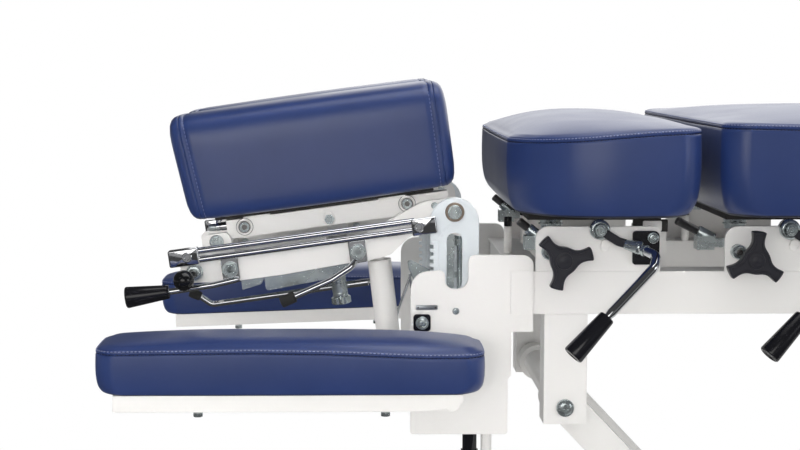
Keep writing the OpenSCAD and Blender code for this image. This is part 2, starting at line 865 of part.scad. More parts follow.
// Rubber stops under the section boards: one at each cheek plate and one in the middle of the first bar
bumper_at = [for (s = sections) [s[2] + bumper_from_cheek, -board_half + bumper_d], [beam_x0 + bumper_d, 0]];
module cheek_plates() {
    color(white_paint) both_sides() for (s = sections) {
        pin_y([s[2], beam_top] + white_button_at, -frame_half - white_button_h, -frame_half, white_button_d);
        difference() {
            union() {
                translate([s[2], 0, beam_top])
                    plate_y(rounded(cheek_shares, cheek_len, cheek_h), -frame_half + cheek_t, cheek_t);
                pin_y([s[2], beam_top] + cam_at, -frame_half, -frame_half + cheek_t, 2 * cam_bump_r);
            }
            pin_y([s[2], beam_top] + cam_at, -frame_half - over, -frame_half + cheek_t + over,
                cam_pin_d + hole_clear);
            pin_y([s[2], beam_top] + knob_at, -frame_half - over, -frame_half + cheek_t + over,
                stud_d + 2 * pin_clear);
        }
        difference() {
            box([hinge_x(s) - lug_plate_w / 2, -beam_in - stand_t, beam_top],
                [hinge_x(s) + lug_plate_w / 2, -beam_in, board_z - stand_top_gap]);
            pin_y([hinge_x(s), hinge_z], -beam_in - stand_t - over, -beam_in + over,
                hinge_pin_d + hole_clear);
        }
    }
    color(white_paint) both_sides() for (at = bumper_at) translate([at.x, at.y, beam_top])
        cylinder(h = bumper_z - beam_top, d = bumper_d);
}
module mast_plates() {
    color(white_paint) {
        both_sides() {
            difference() {
                translate([mast_x, 0, mast_z])
                    plate_y(rounded(mast_shares, mast_w, mast_h), -frame_half, mast_t);
                pin_y([arm_pivot_x, arm_pivot_z], -frame_half - mast_t - over, -frame_half + over,
                    spindle_arm_d + hole_clear);
            }
            // Raised pad on the plate's foot edge
            box([mast_x + mast_w - pad_x_back, -frame_half - mast_t - pad_t, beam_top - pad_drop - pad_h / 2],
                [mast_x + mast_w - over, -frame_half - mast_t, beam_top - pad_drop + pad_h / 2]);
            // Guide bar that the elevator plate slides along
            box([elevator_x + elevator_w - guide_bar_w, -frame_half, mast_z + guide_bar_up],
                [elevator_x + elevator_w, -elevator_out - pin_clear, mast_z + guide_bar_up + guide_bar_h]);
            // Spacer behind the armrest
            difference() {
                pin_y([arm_pivot_x, arm_pivot_z], -armrest_in - tray_inset + side_gap,
                    -frame_half - mast_t, spacer_d);
                pin_y([arm_pivot_x, arm_pivot_z], -armrest_in - tray_inset, -frame_half,
                    spindle_arm_d + hole_clear);
            }
        }
        // Tie between the two mast plates, and the post of the height clamp's link
        tube_y([tie_bar_x, -frame_half, mast_z + tie_bar_up],
            [tie_bar_x + tie_bar_w, frame_half, mast_z + tie_bar_up + tie_bar_w], tube_wall);
        translate([tie_bar_x + link_post_d / 2, -clamp_y, mast_z + tie_bar_up - link_post_drop - tie_bar_up])
            cylinder(h = link_post_drop + tie_bar_up, d = link_post_d);
        // Tab that the height clamp's rod turns in
        difference() {
            box([clamp_x - clamp_rod_d, -clamp_y - clamp_flange_d / 2, mast_z + tie_bar_up],
                [tie_bar_x + over, -clamp_y + clamp_flange_d / 2, mast_z + tie_bar_up + clamp_tab_t]);
            translate([clamp_x, -clamp_y, mast_z])
                cylinder(h = tie_bar_up + clamp_tab_t + over, d = clamp_rod_d + 2 * pin_clear);
        }
    }
}
// Zinc bolts, screws and pins of the top frame
module frame_bolts() {
    color(zinc) both_sides() {
        for (x = [top_pivot_x, top_pivot_x + leg_pitch]) {
            pin_y([x, top_pivot_z], -frame_half, -arm_in + bolt_end, pivot_d);
            pin_y([x, top_pivot_z], -frame_half - flange_h, -frame_half, flange_d);
        }
        for (s = sections) {
            pin_y([hinge_x(s), hinge_z], -board_half - shank_past, -beam_in + shank_past, hinge_pin_d);
            pin_y([s[2], beam_top] + cam_at, -frame_half - cam_t, -frame_half + 2 * cheek_t, cam_pin_d);
            pin_y([s[2], beam_top] + cam_at, -frame_half - cam_t - side_gap - cam_head_h,
                -frame_half - cam_t - side_gap + seat_gap, cam_pin_d + cam_head_h);
        }
        pin_y([arm_pivot_x, arm_pivot_z], -armrest_in - tray_inset - boss_len, -frame_half, spindle_arm_d);
        // Gauge screw, and the screw of the square lock plate
        pin_y([pivot_x, mast_z + gauge_share * mast_h], -frame_half - mast_t - side_gap, -frame_half - mast_t,
            gauge_screw_d);
        pin_y([mast_x + square_t + square_w / 2, mast_z + square_share * mast_h + square_w / 2],
            -frame_half - mast_t - square_t - screw_h, -frame_half - mast_t - square_t, screw_d);
    }
}
module tension_rods() {
    inner = -frame_half + cheek_t;
    color(zinc) both_sides() for (i = [0 : len(sections) - 1]) let (s = sections[i]) {
        x = s[2] - trunnion_backs[i];
        z = beam_top + trunnion_rise;
        root = [x + trunnion_w / 2, inner + trunnion_len / 2, beam_top + rod_root_rise];
        tip = [s[2] - rod_end_backs[i], root.y, beam_top + rod_end_rise];
        box([x - trunnion_w / 2, inner, z - trunnion_h / 2],
            [x + trunnion_w / 2, inner + trunnion_len, z + trunnion_h / 2]);
        // Strap from the block along the cheek plate's inner face
        box([x, inner, z - strap_h / 2], [s[2] + trunnion_w, inner + strap_t, z + strap_h / 2]);
        bar(root, tip, thread_d);
        bar(root, root + sleeve_len * unit(tip - root), sleeve_d);
    }
}
module stop_brackets() {
    color(black) both_sides() for (s = sections) {
        translate([s[2] + stop_at.x, 0, beam_top + stop_at.y])
            plate_y(rounded(stop_shares, stop_w, stop_h), -frame_half, stop_t);
    }
    // Square lock plate on each mast plate
    color(black) both_sides() translate([mast_x + square_t, 0, mast_z + square_share * mast_h])
        plate_y(rounded(square_shares, square_w, square_w), -frame_half - mast_t, square_t);
    color(black) both_sides() for (at = bumper_at) translate([at.x, at.y, bumper_z])
        cylinder(h = bumper_h, d = bumper_d);
}
module control_box() {
    color(black) {
        box([beam_x1 - box_len, -box_half, beam_z - box_h], [beam_x1, box_half, beam_z]);
        box([beam_x1, -inlet_w / 2, beam_z - box_h / 2 - inlet_h / 2],
            [beam_x1 + inlet_t, inlet_w / 2, beam_z - box_h / 2 + inlet_h / 2]);
    }
}
module leg_board() {
    color(black)
        box([leg_x + board_inset, -board_half, board_z], [x_foot - board_inset, board_half, cushion_z]);
}
module leg_cushion() {
    color(navy) translate([leg_x, 0, cushion_z])
        flat_cushion(leg_len, cushion_half, cushion_half, section_edges[2], cushion_h);
}

// Elevator: two plates on ties, sliding up the masts
module elevator_plates() {
    color(plate_white) {
        both_sides() difference() {
            translate([elevator_x, 0, elevator_z])
                plate_y(rounded(elevator_shares, elevator_w, elevator_h), -elevator_in, elevator_t);
            pin_y([pivot_x, pivot_z], -elevator_out - over, -elevator_in + over, head_bolt_d + hole_clear);
            for (drop = [0, slot_len - slot_w])
                pin_y([pivot_x, pivot_z - slot_drop - slot_w / 2 - drop],
                    -elevator_out - over, -elevator_in + over, slot_w);
            box([pivot_x - slot_w / 2, -elevator_out - over, pivot_z - slot_drop - slot_len + slot_w / 2],
                [pivot_x + slot_w / 2, -elevator_in + over, pivot_z - slot_drop - slot_w / 2]);
            box([elevator_x - over, -elevator_out - over, rack_top - rack_len],
                [elevator_x + rack_w, -elevator_in + over, rack_top]);
        }
        for (up = [tie_rise, tie_rise + tie_step]) difference() {
            pin_y([elevator_x + tie_from_edge, elevator_z + up], -elevator_in, elevator_in, tie_d);
            pin_y([elevator_x + tie_from_edge, elevator_z + up], -elevator_in - over, elevator_in + over,
                tie_d - 2 * tube_wall);
        }
        strut_lugs([strut_foot_x, strut_foot_z], [elevator_x + tie_from_edge, elevator_z + tie_rise]);
    }
}
// Toothed edge of each elevator plate
module elevator_racks() {
    color(plate_white) both_sides() difference() {
        box([elevator_x, -elevator_out, rack_top - rack_len], [elevator_x + rack_w, -elevator_in, rack_top]);
        for (drop = [rack_pitch / 2 : rack_pitch : rack_len - rack_tooth])
            box([elevator_x - over, -elevator_out - over, rack_top - drop - rack_tooth],
                [elevator_x + rack_depth, -elevator_in + over, rack_top - drop]);
    }
}
module head_pivot_bolts() {
    color(zinc) both_sides() {
        pin_y([pivot_x, pivot_z], -elevator_out, -head_arm_out + hook_t + nut_h, head_bolt_d);
        pin_y([pivot_x, pivot_z], -elevator_out - washer_t, -elevator_out, washer_d);
        hex_y([pivot_x, pivot_z], -elevator_out - washer_t - hex_h, -elevator_out - washer_t, hex_d);
        hex_y([pivot_x, pivot_z], -head_arm_out + hook_t + seat_gap, -head_arm_out + hook_t + nut_h, hex_d);
    }
    color(zinc)
        pin_y([strut_foot_x, strut_foot_z], -strut_y - strut_eye_w, -strut_y + strut_eye_w, strut_pin_d);
}
module lift_spindles() {
    color(zinc) both_sides() {
        translate([spindle_x, -spindle_y, mast_z + spindle_up])
            cylinder(h = beam_top + spindle_past - mast_z - spindle_up, d = spindle_d);
        translate([spindle_x, -spindle_y, beam_top + spindle_past])
            cylinder(h = spindle_nut_h, d = spindle_nut_d, $fn = 6);
        for (z = [mast_z + 3 * spindle_up, beam_z + tube_wall]) difference() {
            box([spindle_x - spindle_bracket_w / 2, -spindle_y - spindle_bracket_w / 2 + side_gap, z],
                [z > beam_z ? beam_x0 : tie_bar_x, -spindle_y + spindle_bracket_w / 2,
                    z + spindle_bracket_t]);
            translate([spindle_x, -spindle_y, z - over])
                cylinder(h = spindle_bracket_t + 2 * over, d = spindle_d);
        }
    }
}
module height_clamp() {
    color(black) translate([clamp_x, -clamp_y, mast_z - clamp_drop]) {
        translate([0, 0, -clamp_h]) cylinder(h = clamp_h, d = clamp_d);
        cylinder(h = clamp_rod_d / 2, d = clamp_flange_d);
        cylinder(h = clamp_drop + tie_bar_up + clamp_tab_t + bolt_end, d = clamp_rod_d);
        translate([0, 0, -clamp_h])
            box([-clamp_nose / 2, -clamp_rod_d / 2, -clamp_rod_d], [clamp_nose / 2, clamp_rod_d / 2, 0]);
    }
}

// Head frame: two side arms with hooked plates up to the tilt bolts
module head_arms() {
    color(white_paint) head_frame() both_sides() difference() {
        union() {
            translate([-head_arm_len, 0, arm_low]) plate_y(rounded(arm_shares,
                head_arm_len + arm_end_a, ear_top - arm_low), -head_arm_in, head_arm_t);
            translate([arm_end_a, 0, arm_low]) plate_y(rounded(hook_shares, hook_len, hook_h),
                -head_arm_out + hook_t, hook_t);
        }
        pin_y([0, 0], -head_arm_out - over, -head_arm_in + over, head_bolt_d + 2 * pin_clear);
        for (at = [cam_one_at, cam_two_at])
            pin_y(at, -head_arm_out - over, -head_arm_in + over, cam_bolt_d + hole_clear);
        pin_y(tray_pin_at, -head_arm_out - over, -head_arm_in + over, tray_pin_d + hole_clear);
    }
}
module head_crossbars() {
    color(white_paint) head_frame() {
        for (a = [bar_head_a, bar_pivot_a])
            tube_y([a, -head_arm_in, crossbar_low], [a + crossbar_size, head_arm_in,
                crossbar_low + crossbar_size], arm_wall);
        root = [bar_pivot_a + crossbar_size / 2, crossbar_low + crossbar_size / 2];
        strut_lugs(strut_at, root);
        // Lug of the release bail, reaching out from the crossbar and down
        difference() {
            for (ends = [[root, [bail_pin_at.x, bail_root_b]], [[bail_pin_at.x, bail_root_b], bail_pin_at]])
                hull() for (at = ends)
                    pin_y(at, bail_lug_y, bail_lug_y + bail_lug_t, bail_lug_w, $fn = hull_fn);
            pin_y(bail_pin_at, bail_lug_y - over, bail_lug_y + bail_lug_t + over, bail_pin_d + hole_clear);
        }
    }
}
module chrome_rails() {
    color(chrome) head_frame() both_sides() {
        for (side = [-1, 1])
            bar([left_block_a + left_block_w, -guide_out, guide_mid + side * guide_pitch / 2],
                [right_block_a, -guide_out, guide_mid + side * guide_pitch / 2], guide_d);
        box([left_block_a, -guide_out - block_t / 2, guide_mid - block_h / 2],
            [left_block_a + left_block_w, -guide_out + block_t / 2, guide_mid + block_h / 2]);
        box([right_block_a, -guide_out - block_t / 2, guide_mid - right_block_drop - block_h / 2],
            [right_block_a + right_block_w, -guide_out + block_t / 2,
                guide_mid - right_block_drop + block_h / 2]);
        for (at = [[left_stud_a, guide_mid], [right_stud_a, guide_mid - right_block_drop]])
            pin_y(at, -guide_out + block_t / 2, -head_arm_out, block_stud_d);
    }
}
module head_mechanism() {
    color(zinc) head_frame() {
        both_sides() {
            for (at = [cam_one_at, cam_two_at]) {
                pin_y(at, -head_arm_out - cam_square_t, -head_arm_in + bolt_end, cam_bolt_d);
                hex_y(at, -head_arm_out - cam_square_t - side_gap - cam_hex_h,
                    -head_arm_out - cam_square_t - side_gap, cam_hex_d);
                pin_y(at, -head_arm_out - cam_square_t - side_gap, -head_arm_out - cam_square_t, cam_bolt_d);
            }
            pin_y(tray_pin_at, -head_arm_out, -tray_out + tray_w + bolt_end, tray_pin_d);
        }
        pin_y(bail_pin_at, -bail_y - bail_eye_w / 2 - side_gap, bail_lug_y + bail_lug_t + side_gap,
            bail_pin_d);
        // Bearing of the ball plunger
        difference() {
            pin_y(plunger_at, -head_arm_out - plunger_h, -head_arm_out, plunger_d);
            pin_y(plunger_at, -head_arm_out - plunger_h - over, -head_arm_out + over,
                ball_shaft_d + 2 * pin_clear);
        }
        // Deck plate under the crossbars with its flanges, and the drop cylinder with its nut
        box([deck_a[0], -deck_half, deck_b - deck_t], [deck_a[1], deck_half, deck_b]);
        both_sides() for (f = deck_flanges)
            translate([deck_a[0] + f[0], 0, deck_b - f[2]])
                plate_y(rounded(flange_shares, f[1], f[2]), -deck_half + deck_t, deck_t);
        pin_y(strut_at, -strut_y - strut_eye_w, -strut_y + strut_eye_w, strut_pin_d);
        translate([cylinder_a, -cylinder_y, deck_b - deck_t - cylinder_len])
            cylinder(h = cylinder_len, d = cylinder_d);
        translate([cylinder_a, -cylinder_y, deck_b - deck_t - cylinder_len - cylinder_nut_h])
            cylinder(h = cylinder_nut_h, d = cylinder_nut_d, $fn = 6);
    }
}
// Tilt strut: a tube on the head frame and a rod on the elevator
strut_top = [pivot_x + strut_at.x * cos(head_tilt) - strut_at.y * sin(head_tilt),
    pivot_z + strut_at.x * sin(head_tilt) + strut_at.y * cos(head_tilt)];
strut_full = norm(strut_top - [strut_foot_x, strut_foot_z]);
strut_angle = atan2(strut_top.y - strut_foot_z, strut_top.x - strut_foot_x);
module along_strut() {
    translate([strut_foot_x, -strut_y, strut_foot_z]) rotate([0, 90 - strut_angle, 0]) children();
}
module strut_tube() {
    color(white_paint) along_strut() difference() {
        union() {
            translate([0, 0, strut_full - strut_len])
                cylinder(h = strut_len - strut_shoulder, d = strut_d);
            pin_y([0, strut_full], -strut_eye_w / 2, strut_eye_w / 2, strut_eye_d);
            translate([0, 0, strut_full - strut_bore_from + side_gap])
                cylinder(h = strut_bore_from - side_gap, d = strut_eye_w - side_gap);
        }
        translate([0, 0, strut_full - strut_len - over])
            cylinder(h = strut_len - strut_bore_from + over, d = strut_bore);
        pin_y([0, strut_full], -strut_eye_w, strut_eye_w, strut_pin_d + 2 * pin_clear);
    }
}
module strut_rod() {
    color(chrome) along_strut() difference() {
        union() {
            cylinder(h = strut_rod_len, d = strut_rod_d);
            pin_y([0, 0], -strut_eye_w / 2, strut_eye_w / 2, strut_eye_d);
        }
        pin_y([0, 0], -strut_eye_w, strut_eye_w, strut_pin_d + 2 * pin_clear);
    }
}

// Head tray, which drops, with the two sliding head cushions
module tray_rails() {
    color(white_paint) head_frame() {
        both_sides() {
            difference() {
                box([tray_head_a, -tray_out, tray_low], [tray_foot_a, -tray_out + tray_w, tray_low + tray_h]);
                box([tray_head_a - over, -tray_out + tray_wall, tray_low + tray_wall],
                    [tray_foot_a + over, -tray_out + tray_w - tray_wall, tray_low + tray_h - tray_wall]);
                pin_y(tray_pin_at, -tray_out - over, -tray_out + tray_w + over, tray_pin_d + 2 * pin_clear);
            }
            for (a = tab_a)
                box([a, -tray_out - tab_over + side_gap, tray_low + tray_h],
                    [a + tab_w, -tray_out + tray_w, tray_low + tray_h + tab_t]);
            for (at = tray_screw_at) pin_y(at, -tray_out - screw_h, -tray_out, screw_d);
            hex_y(nut_stud_at, -tray_out - screw_h, -tray_out, screw_d);
        }
        for (a = [tray_head_a + crossbar_size / 2, tray_foot_a - 2.5 * crossbar_size])
            tube_y([a, -tray_out + tray_w, tray_low], [a + crossbar_size, tray_out - tray_w,
                tray_low + tray_h], tray_wall);
    }
}
module head_board() {
    head_frame() box([-head_len + head_over + head_board_inset + head_slant_share * head_h,
        -face_gap - head_w + head_board_inset, head_board_z],
        [-head_board_inset + head_over, -face_gap - head_board_inset, head_cushion_z]);
}
module head_cushion() {
    head_frame() translate([-head_len + head_over, -face_gap - head_w, head_cushion_z])
        head_block(head_len, head_w, head_h);
}
module near_head_board() {
    color(black) head_board();
}
module near_head_cushion() {
    color(navy) head_cushion();
}
module far_head_board() {
    color(black) mirror([0, 1, 0]) head_board();
}
module far_head_cushion() {
    color(navy) mirror([0, 1, 0]) head_cushion();
}

// Levers of the head piece
module cam_square(at) {
    difference() {
        box([at.x - cam_square_w / 2, -head_arm_out - cam_square_t, at.y - cam_square_h / 2],
            [at.x + cam_square_w / 2, -head_arm_out - seat_gap, at.y + cam_square_h / 2]);
        pin_y(at, -head_arm_out - cam_square_t - over, -head_arm_out + over, cam_bolt_d + 2 * pin_clear);
    }
}
module head_lever() {
    color(chrome) head_frame() {
        cam_square(cam_one_at);
        knee = [grip_a[0] + lever_rod_d, -rod_out, cam_one_at.y + lever_rod_drop];
        bar([cam_one_at.x + cam_square_w / 2, -rod_out, cam_one_at.y - cam_square_h / 2], knee, lever_rod_d);
        translate(knee) sphere(d = lever_rod_d + bend_swell);
        bar(knee, [lever_rod_end_a, -rod_out, cam_one_at.y + lever_rod_drop], lever_rod_d);
        box([cam_one_at.x - cam_square_w / 2, -rod_out, cam_one_at.y - cam_square_h / 2],
            [cam_one_at.x + cam_square_w / 2, -head_arm_out - seat_gap, cam_one_at.y - cam_square_h / 2
                + lever_rod_d / 2]);
    }
}
module head_grip() {
    color(black) head_frame()
        difference() {
            bar([grip_a[0], -rod_out, cam_one_at.y + lever_rod_drop],
                [grip_a[1], -rod_out, cam_one_at.y + lever_rod_drop], head_grip_d[0], head_grip_d[1]);
            bar([grip_a[0] + over, -rod_out, cam_one_at.y + lever_rod_drop],
                [lever_rod_end_a, -rod_out, cam_one_at.y + lever_rod_drop], lever_rod_d + 2 * pin_clear);
        }
}
module ball_knob() {
    color(black) head_frame() {
        ball_at = plunger_at + ball_shift;
        bend = [plunger_at.x, -head_arm_out - plunger_h - ball_shaft_d, plunger_at.y];
        pin_y(plunger_at, bend.y, -head_arm_out, ball_shaft_d);
        translate(bend) sphere(d = ball_shaft_d + bend_swell);
        bar(bend, [ball_at.x, -head_arm_out - ball_out, ball_at.y], ball_shaft_d);
        translate([ball_at.x, -head_arm_out - ball_out, ball_at.y]) sphere(d = ball_d);
    }
}
module bail_lever() {
    color(chrome) head_frame() {
        difference() {
            pin_y(bail_pin_at, -bail_y - bail_eye_w / 2, -bail_y + bail_eye_w / 2, bail_eye_d);
            pin_y(bail_pin_at, -bail_y - bail_eye_w, -bail_y + bail_eye_w, bail_pin_d + 2 * pin_clear);
        }
        bar([bail_pin_at.x - bail_eye_d / 2 + over, -bail_y, bail_pin_at.y],
            [bail_run_a, -bail_y, bail_run_b], bail_d);
        translate([bail_run_a, -bail_y, bail_run_b]) sphere(d = bail_d + bend_swell);
        bar([bail_run_a, -bail_y, bail_run_b], [bail_tip_at.x, -bail_y, bail_tip_at.y], bail_d);
        bar([bail_tip_at.x, -bail_y, bail_tip_at.y], [bail_tip_at.x - bail_cap_len / 2, -bail_y,
            bail_tip_at.y + bail_cap_d / 2], bail_cap_d);
    }
}
module short_lever() {
    color(chrome) head_frame() {
        cam_square(cam_two_at);
        root = [cam_two_at.x, -rod_out, cam_two_at.y - cam_square_h / 2];
        tip = [short_tip_at.x, -rod_out, short_tip_at.y];
        box([root.x - cam_square_w / 2, -rod_out, root.z],
            [root.x + cam_square_w / 2, -head_arm_out - seat_gap, root.z + lever_rod_d / 2]);
        bar(root, tip, lever_rod_d);
        bar(tip, tip + short_cap_len * unit(tip - root), short_cap_d);
    }
}

// Armrests
module arm_tray() {
    x0 = x_head + tray_end_gap;
    x1 = x_head + armrest_len - tray_foot_gap;
    out = armrest_in + armrest_w - tray_inset;
    inner = armrest_in + tray_inset;
    difference() {
        union() {
            plate_y(concat([[x1, armrest_z], [x0, armrest_z], [x0, armrest_z - tray_t]],
                [for (turn = [0 : 15 : 90]) [x1 - tray_curve.x + tray_curve.x * sin(turn),
                    armrest_z - tray_t + tray_curve.y * (1 - cos(turn))]]), -inner, out - inner);
            pin_y([arm_pivot_x, arm_pivot_z], -out, -inner, boss_d);
        }
        difference() {
            box([x0 + tray_wall, -out + tray_wall, armrest_z - tray_t + tray_wall],
                [x1 - tray_curve.x, -inner - tray_wall, armrest_z - tray_wall]);
            pin_y([arm_pivot_x, arm_pivot_z], -out, -inner, boss_d);
        }
        pin_y([arm_pivot_x, arm_pivot_z], -inner - boss_len - 2 * over, -inner + over,
            spindle_arm_d + 2 * pin_clear);
    }
    for (share = arm_screw_shares)
        translate([x0 + share * (x1 - tray_curve.x - x0), -armrest_in - armrest_w / 2,
            armrest_z - tray_t - arm_screw_h]) cylinder(h = arm_screw_h, d = arm_screw_d);
}
module arm_cushion() {
    translate([x_head, -armrest_in - armrest_w / 2, armrest_z])
        flat_cushion(armrest_len, armrest_w / 2, armrest_w / 2, armrest_edges, armrest_h);
}
module far_side() {
    translate([arm_pivot_x, 0, arm_pivot_z]) rotate([0, -far_droop, 0])
        translate([-arm_pivot_x, 0, -arm_pivot_z]) mirror([0, 1, 0]) children();
}
module near_arm_tray() {
    color(white_paint) arm_tray();
}
module near_arm_cushion() {
    color(navy) arm_cushion();
}
module far_arm_tray() {
    color(white_paint) far_side() arm_tray();
}
module far_arm_cushion() {
    color(navy) far_side() arm_cushion();
}

// Drop sections
module section_board(s) {
    color(black) {
        box([s[0] + board_inset, -board_half, board_z], [s[0] + s[1] - board_inset, board_half, cushion_z]);
        both_sides() difference() {
            union() {
                box([hinge_x(s) - lug_plate_w / 2, -board_half, hinge_z],
                    [hinge_x(s) + lug_plate_w / 2, -board_half + lug_plate_t, board_z]);
                pin_y([hinge_x(s), hinge_z], -board_half, -board_half + lug_plate_t, 2 * hinge_pin_d);
            }
            pin_y([hinge_x(s), hinge_z], -board_half - over, -board_half + lug_plate_t + over,
                hinge_pin_d + 2 * pin_clear);
        }
    }
}
module section_cushion(i, start_half, height) {
    color(navy) translate([section_starts[i], 0, cushion_z])
        flat_cushion(section_lengths[i], start_half, cushion_half, section_edges[i], height);
}
function from_cam(s, at, out) = [s[2] + cam_at.x + at.x, -frame_half - out, beam_top + cam_at.y + at.y];
module section_lever(s) {
    cam = [s[2], beam_top] + cam_at;
    arm_end = from_cam(s, socket_at, lever_arm_t);
    socket = from_cam(s, socket_at, socket_out);
    elbow = from_cam(s, elbow_at, elbow_out);
    low = from_cam(s, elbow_low_at, elbow_low_out);
    grip = from_cam(s, grip_top_at, grip_top_out);
    color(chrome) difference() {
        union() {
            pin_y(cam, -frame_half - cam_t, -frame_half - seat_gap, cam_d);
            hull() for (at = [cam, [arm_end.x, arm_end.z]])
                pin_y(at, -frame_half - cam_t, -frame_half - cam_t + lever_arm_t, lever_arm_w, $fn = hull_fn);
            pin_y([socket.x, socket.z], socket.y, -frame_half - cam_t + lever_arm_t, socket_d);
            bar(socket, elbow, lever_d);
            translate(socket) sphere(d = socket_h);
            translate(elbow) sphere(d = lever_d + bend_swell);
            bar(elbow, low, lever_d);
            translate(low) sphere(d = lever_d + bend_swell);
            bar(low, grip, lever_d);
        }
        pin_y(cam, -frame_half - cam_t - over, -frame_half + over, cam_pin_d + 2 * pin_clear);
    }
}
module section_grip(s) {
    color(black) bar(from_cam(s, grip_top_at, grip_top_out), from_cam(s, grip_end_at, grip_end_out),
        grip_top_d, grip_end_d);
}
// Three-armed tension knob on its stud
module section_knob(s) {
    at = [s[2], beam_top] + knob_at;
    face = -frame_half - knob_stand;
    color(black) {
        pin_y(at, face, -frame_half + 2 * cheek_t, stud_d);
        pin_y(at, face - knob_t * knob_arm_share, face, knob_hub_d);
        for (turn = [0, 120, 240]) translate([at.x, 0, at.y]) rotate([0, turn - s[3], 0])
            plate_y(rounded(knob_shares, knob_r, knob_arm_w), face - knob_t * (1 - knob_arm_share),
                knob_t * knob_arm_share);
    }
}
module thoracic_board() section_board(sections[0]);
module thoracic_cushion() section_cushion(0, shoulder_half, thoracic_h);
module thoracic_lever() section_lever(sections[0]);
module thoracic_grip() section_grip(sections[0]);
module thoracic_knob() section_knob(sections[0]);
module lumbar_board() section_board(sections[1]);
module lumbar_cushion() section_cushion(1, cushion_half, cushion_h);
module lumbar_lever() section_lever(sections[1]);
module lumbar_grip() section_grip(sections[1]);
module lumbar_knob() section_knob(sections[1]);
module pelvic_board() section_board(sections[2]);
module pelvic_cushion() section_cushion(2, cushion_half, cushion_h);
module pelvic_lever() {
    section_lever(sections[2]);
    section_grip(sections[2]);
}
module pelvic_knob() section_knob(sections[2]);

base_rails();
base_crossbars();
base_lugs();
base_bolts();
foot_pads();
foot_stems();
head_legs();
foot_legs();
actuator_barrel();
actuator_rod();
side_beams();
beam_crossbars();
leg_brackets();
cheek_plates();
mast_plates();
frame_bolts();
tension_rods();
stop_brackets();
control_box();
leg_board();
leg_cushion();
elevator_plates();
elevator_racks();
head_pivot_bolts();
lift_spindles();
height_clamp();
head_arms();
head_crossbars();
chrome_rails();
head_mechanism();
strut_tube();
strut_rod();
tray_rails();
near_head_board();
near_head_cushion();
far_head_board();
far_head_cushion();
head_lever();
head_grip();
ball_knob();
bail_lever();
short_lever();
near_arm_tray();
near_arm_cushion();
far_arm_tray();
far_arm_cushion();
thoracic_board();
thoracic_cushion();
thoracic_lever();
thoracic_grip();
thoracic_knob();
lumbar_board();
lumbar_cushion();
lumbar_lever();
lumbar_grip();
lumbar_knob();
pelvic_board();
pelvic_cushion();
pelvic_lever();
pelvic_knob();
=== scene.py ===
import json
import math
import bpy
import numpy as np
from mathutils import Matrix, Vector, noise


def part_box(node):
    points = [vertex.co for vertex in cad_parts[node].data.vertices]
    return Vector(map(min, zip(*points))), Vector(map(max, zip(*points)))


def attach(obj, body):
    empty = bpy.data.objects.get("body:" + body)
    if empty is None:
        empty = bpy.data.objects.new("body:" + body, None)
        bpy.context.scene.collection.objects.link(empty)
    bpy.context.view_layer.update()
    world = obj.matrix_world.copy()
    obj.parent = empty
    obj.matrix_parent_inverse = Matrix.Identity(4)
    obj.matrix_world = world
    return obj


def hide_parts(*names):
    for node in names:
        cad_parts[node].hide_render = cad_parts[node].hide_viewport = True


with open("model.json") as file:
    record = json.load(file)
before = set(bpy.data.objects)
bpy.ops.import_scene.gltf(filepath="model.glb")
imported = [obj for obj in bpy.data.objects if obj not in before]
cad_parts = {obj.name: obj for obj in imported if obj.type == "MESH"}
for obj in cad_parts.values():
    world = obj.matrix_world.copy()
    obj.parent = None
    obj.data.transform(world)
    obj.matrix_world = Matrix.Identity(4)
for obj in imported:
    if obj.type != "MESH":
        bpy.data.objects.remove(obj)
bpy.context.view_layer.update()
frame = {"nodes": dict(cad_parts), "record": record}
print("packed table loaded")

jointPlace = {
    joint["name"]: Vector(joint["pos_m"])
    for joint in frame["record"]["behaviour"]["joints"]
    if "pos_m" in joint
}
tiltBolt = jointPlace["head_tilt"]
headTilt = math.radians(7.8)
headTurn = Matrix.Translation(tiltBolt) @ Matrix.Rotation(-headTilt, 4, "Y")
farDroop = math.radians(2)
armPivot = jointPlace["far_arm_fold"]
farArmTurn = (Matrix.Translation(armPivot) @ Matrix.Rotation(-farDroop, 4, "Y")
              @ Matrix.Translation(-armPivot))
cockAboveBeam = 0.049
beamTop = jointPlace["thoracic_cock"].z - cockAboveBeam
sectionNames = ["thoracic", "lumbar", "pelvic"]
nearFace, farFace = (0, -1, 0), (0, 1, 0)
bothSides = ((-1, nearFace), (1, farFace))


# Shader helpers: an input is fed with a value or with another node's socket
def feed(tree, node, inputs):
    for label, value in inputs.items():
        if isinstance(value, bpy.types.NodeSocket):
            tree.links.new(value, node.inputs[label])
        else:
            node.inputs[label].default_value = value


def addNode(tree, kind, inputs, **settings):
    node = tree.nodes.new("ShaderNode" + kind)
    for label, value in settings.items():
        setattr(node, label, value)
    feed(tree, node, inputs)
    return node


def mathNode(tree, operation, first, second):
    return addNode(tree, "Math", {0: first, 1: second}, operation=operation).outputs[0]


def objectPlace(tree, scale=(1, 1, 1)):
    place = addNode(tree, "TexCoord", {}).outputs["Object"]
    return addNode(tree, "Mapping", {"Vector": place, "Scale": scale}).outputs["Vector"]


def noiseNode(tree, place, scale, detail, distortion=0.0):
    inputs = {"Vector": place, "Scale": scale, "Detail": detail, "Distortion": distortion}
    return addNode(tree, "TexNoise", inputs).outputs["Fac"]


def newMaterial(name):
    material = bpy.data.materials.new(name)
    material.use_nodes = True
    return material, material.node_tree, material.node_tree.nodes["Principled BSDF"]


# Node groups that several finishes share
def newGroup(name, inputs, outputs):
    group = bpy.data.node_groups.new(name, "ShaderNodeTree")
    for label, value in inputs.items():
        socket = group.interface.new_socket(label, in_out="INPUT", socket_type="NodeSocketFloat")
        socket.default_value = value
    for label in outputs:
        group.interface.new_socket(label, in_out="OUTPUT", socket_type="NodeSocketFloat")
    given = group.nodes.new("NodeGroupInput").outputs
    return group, given, group.nodes.new("NodeGroupOutput")


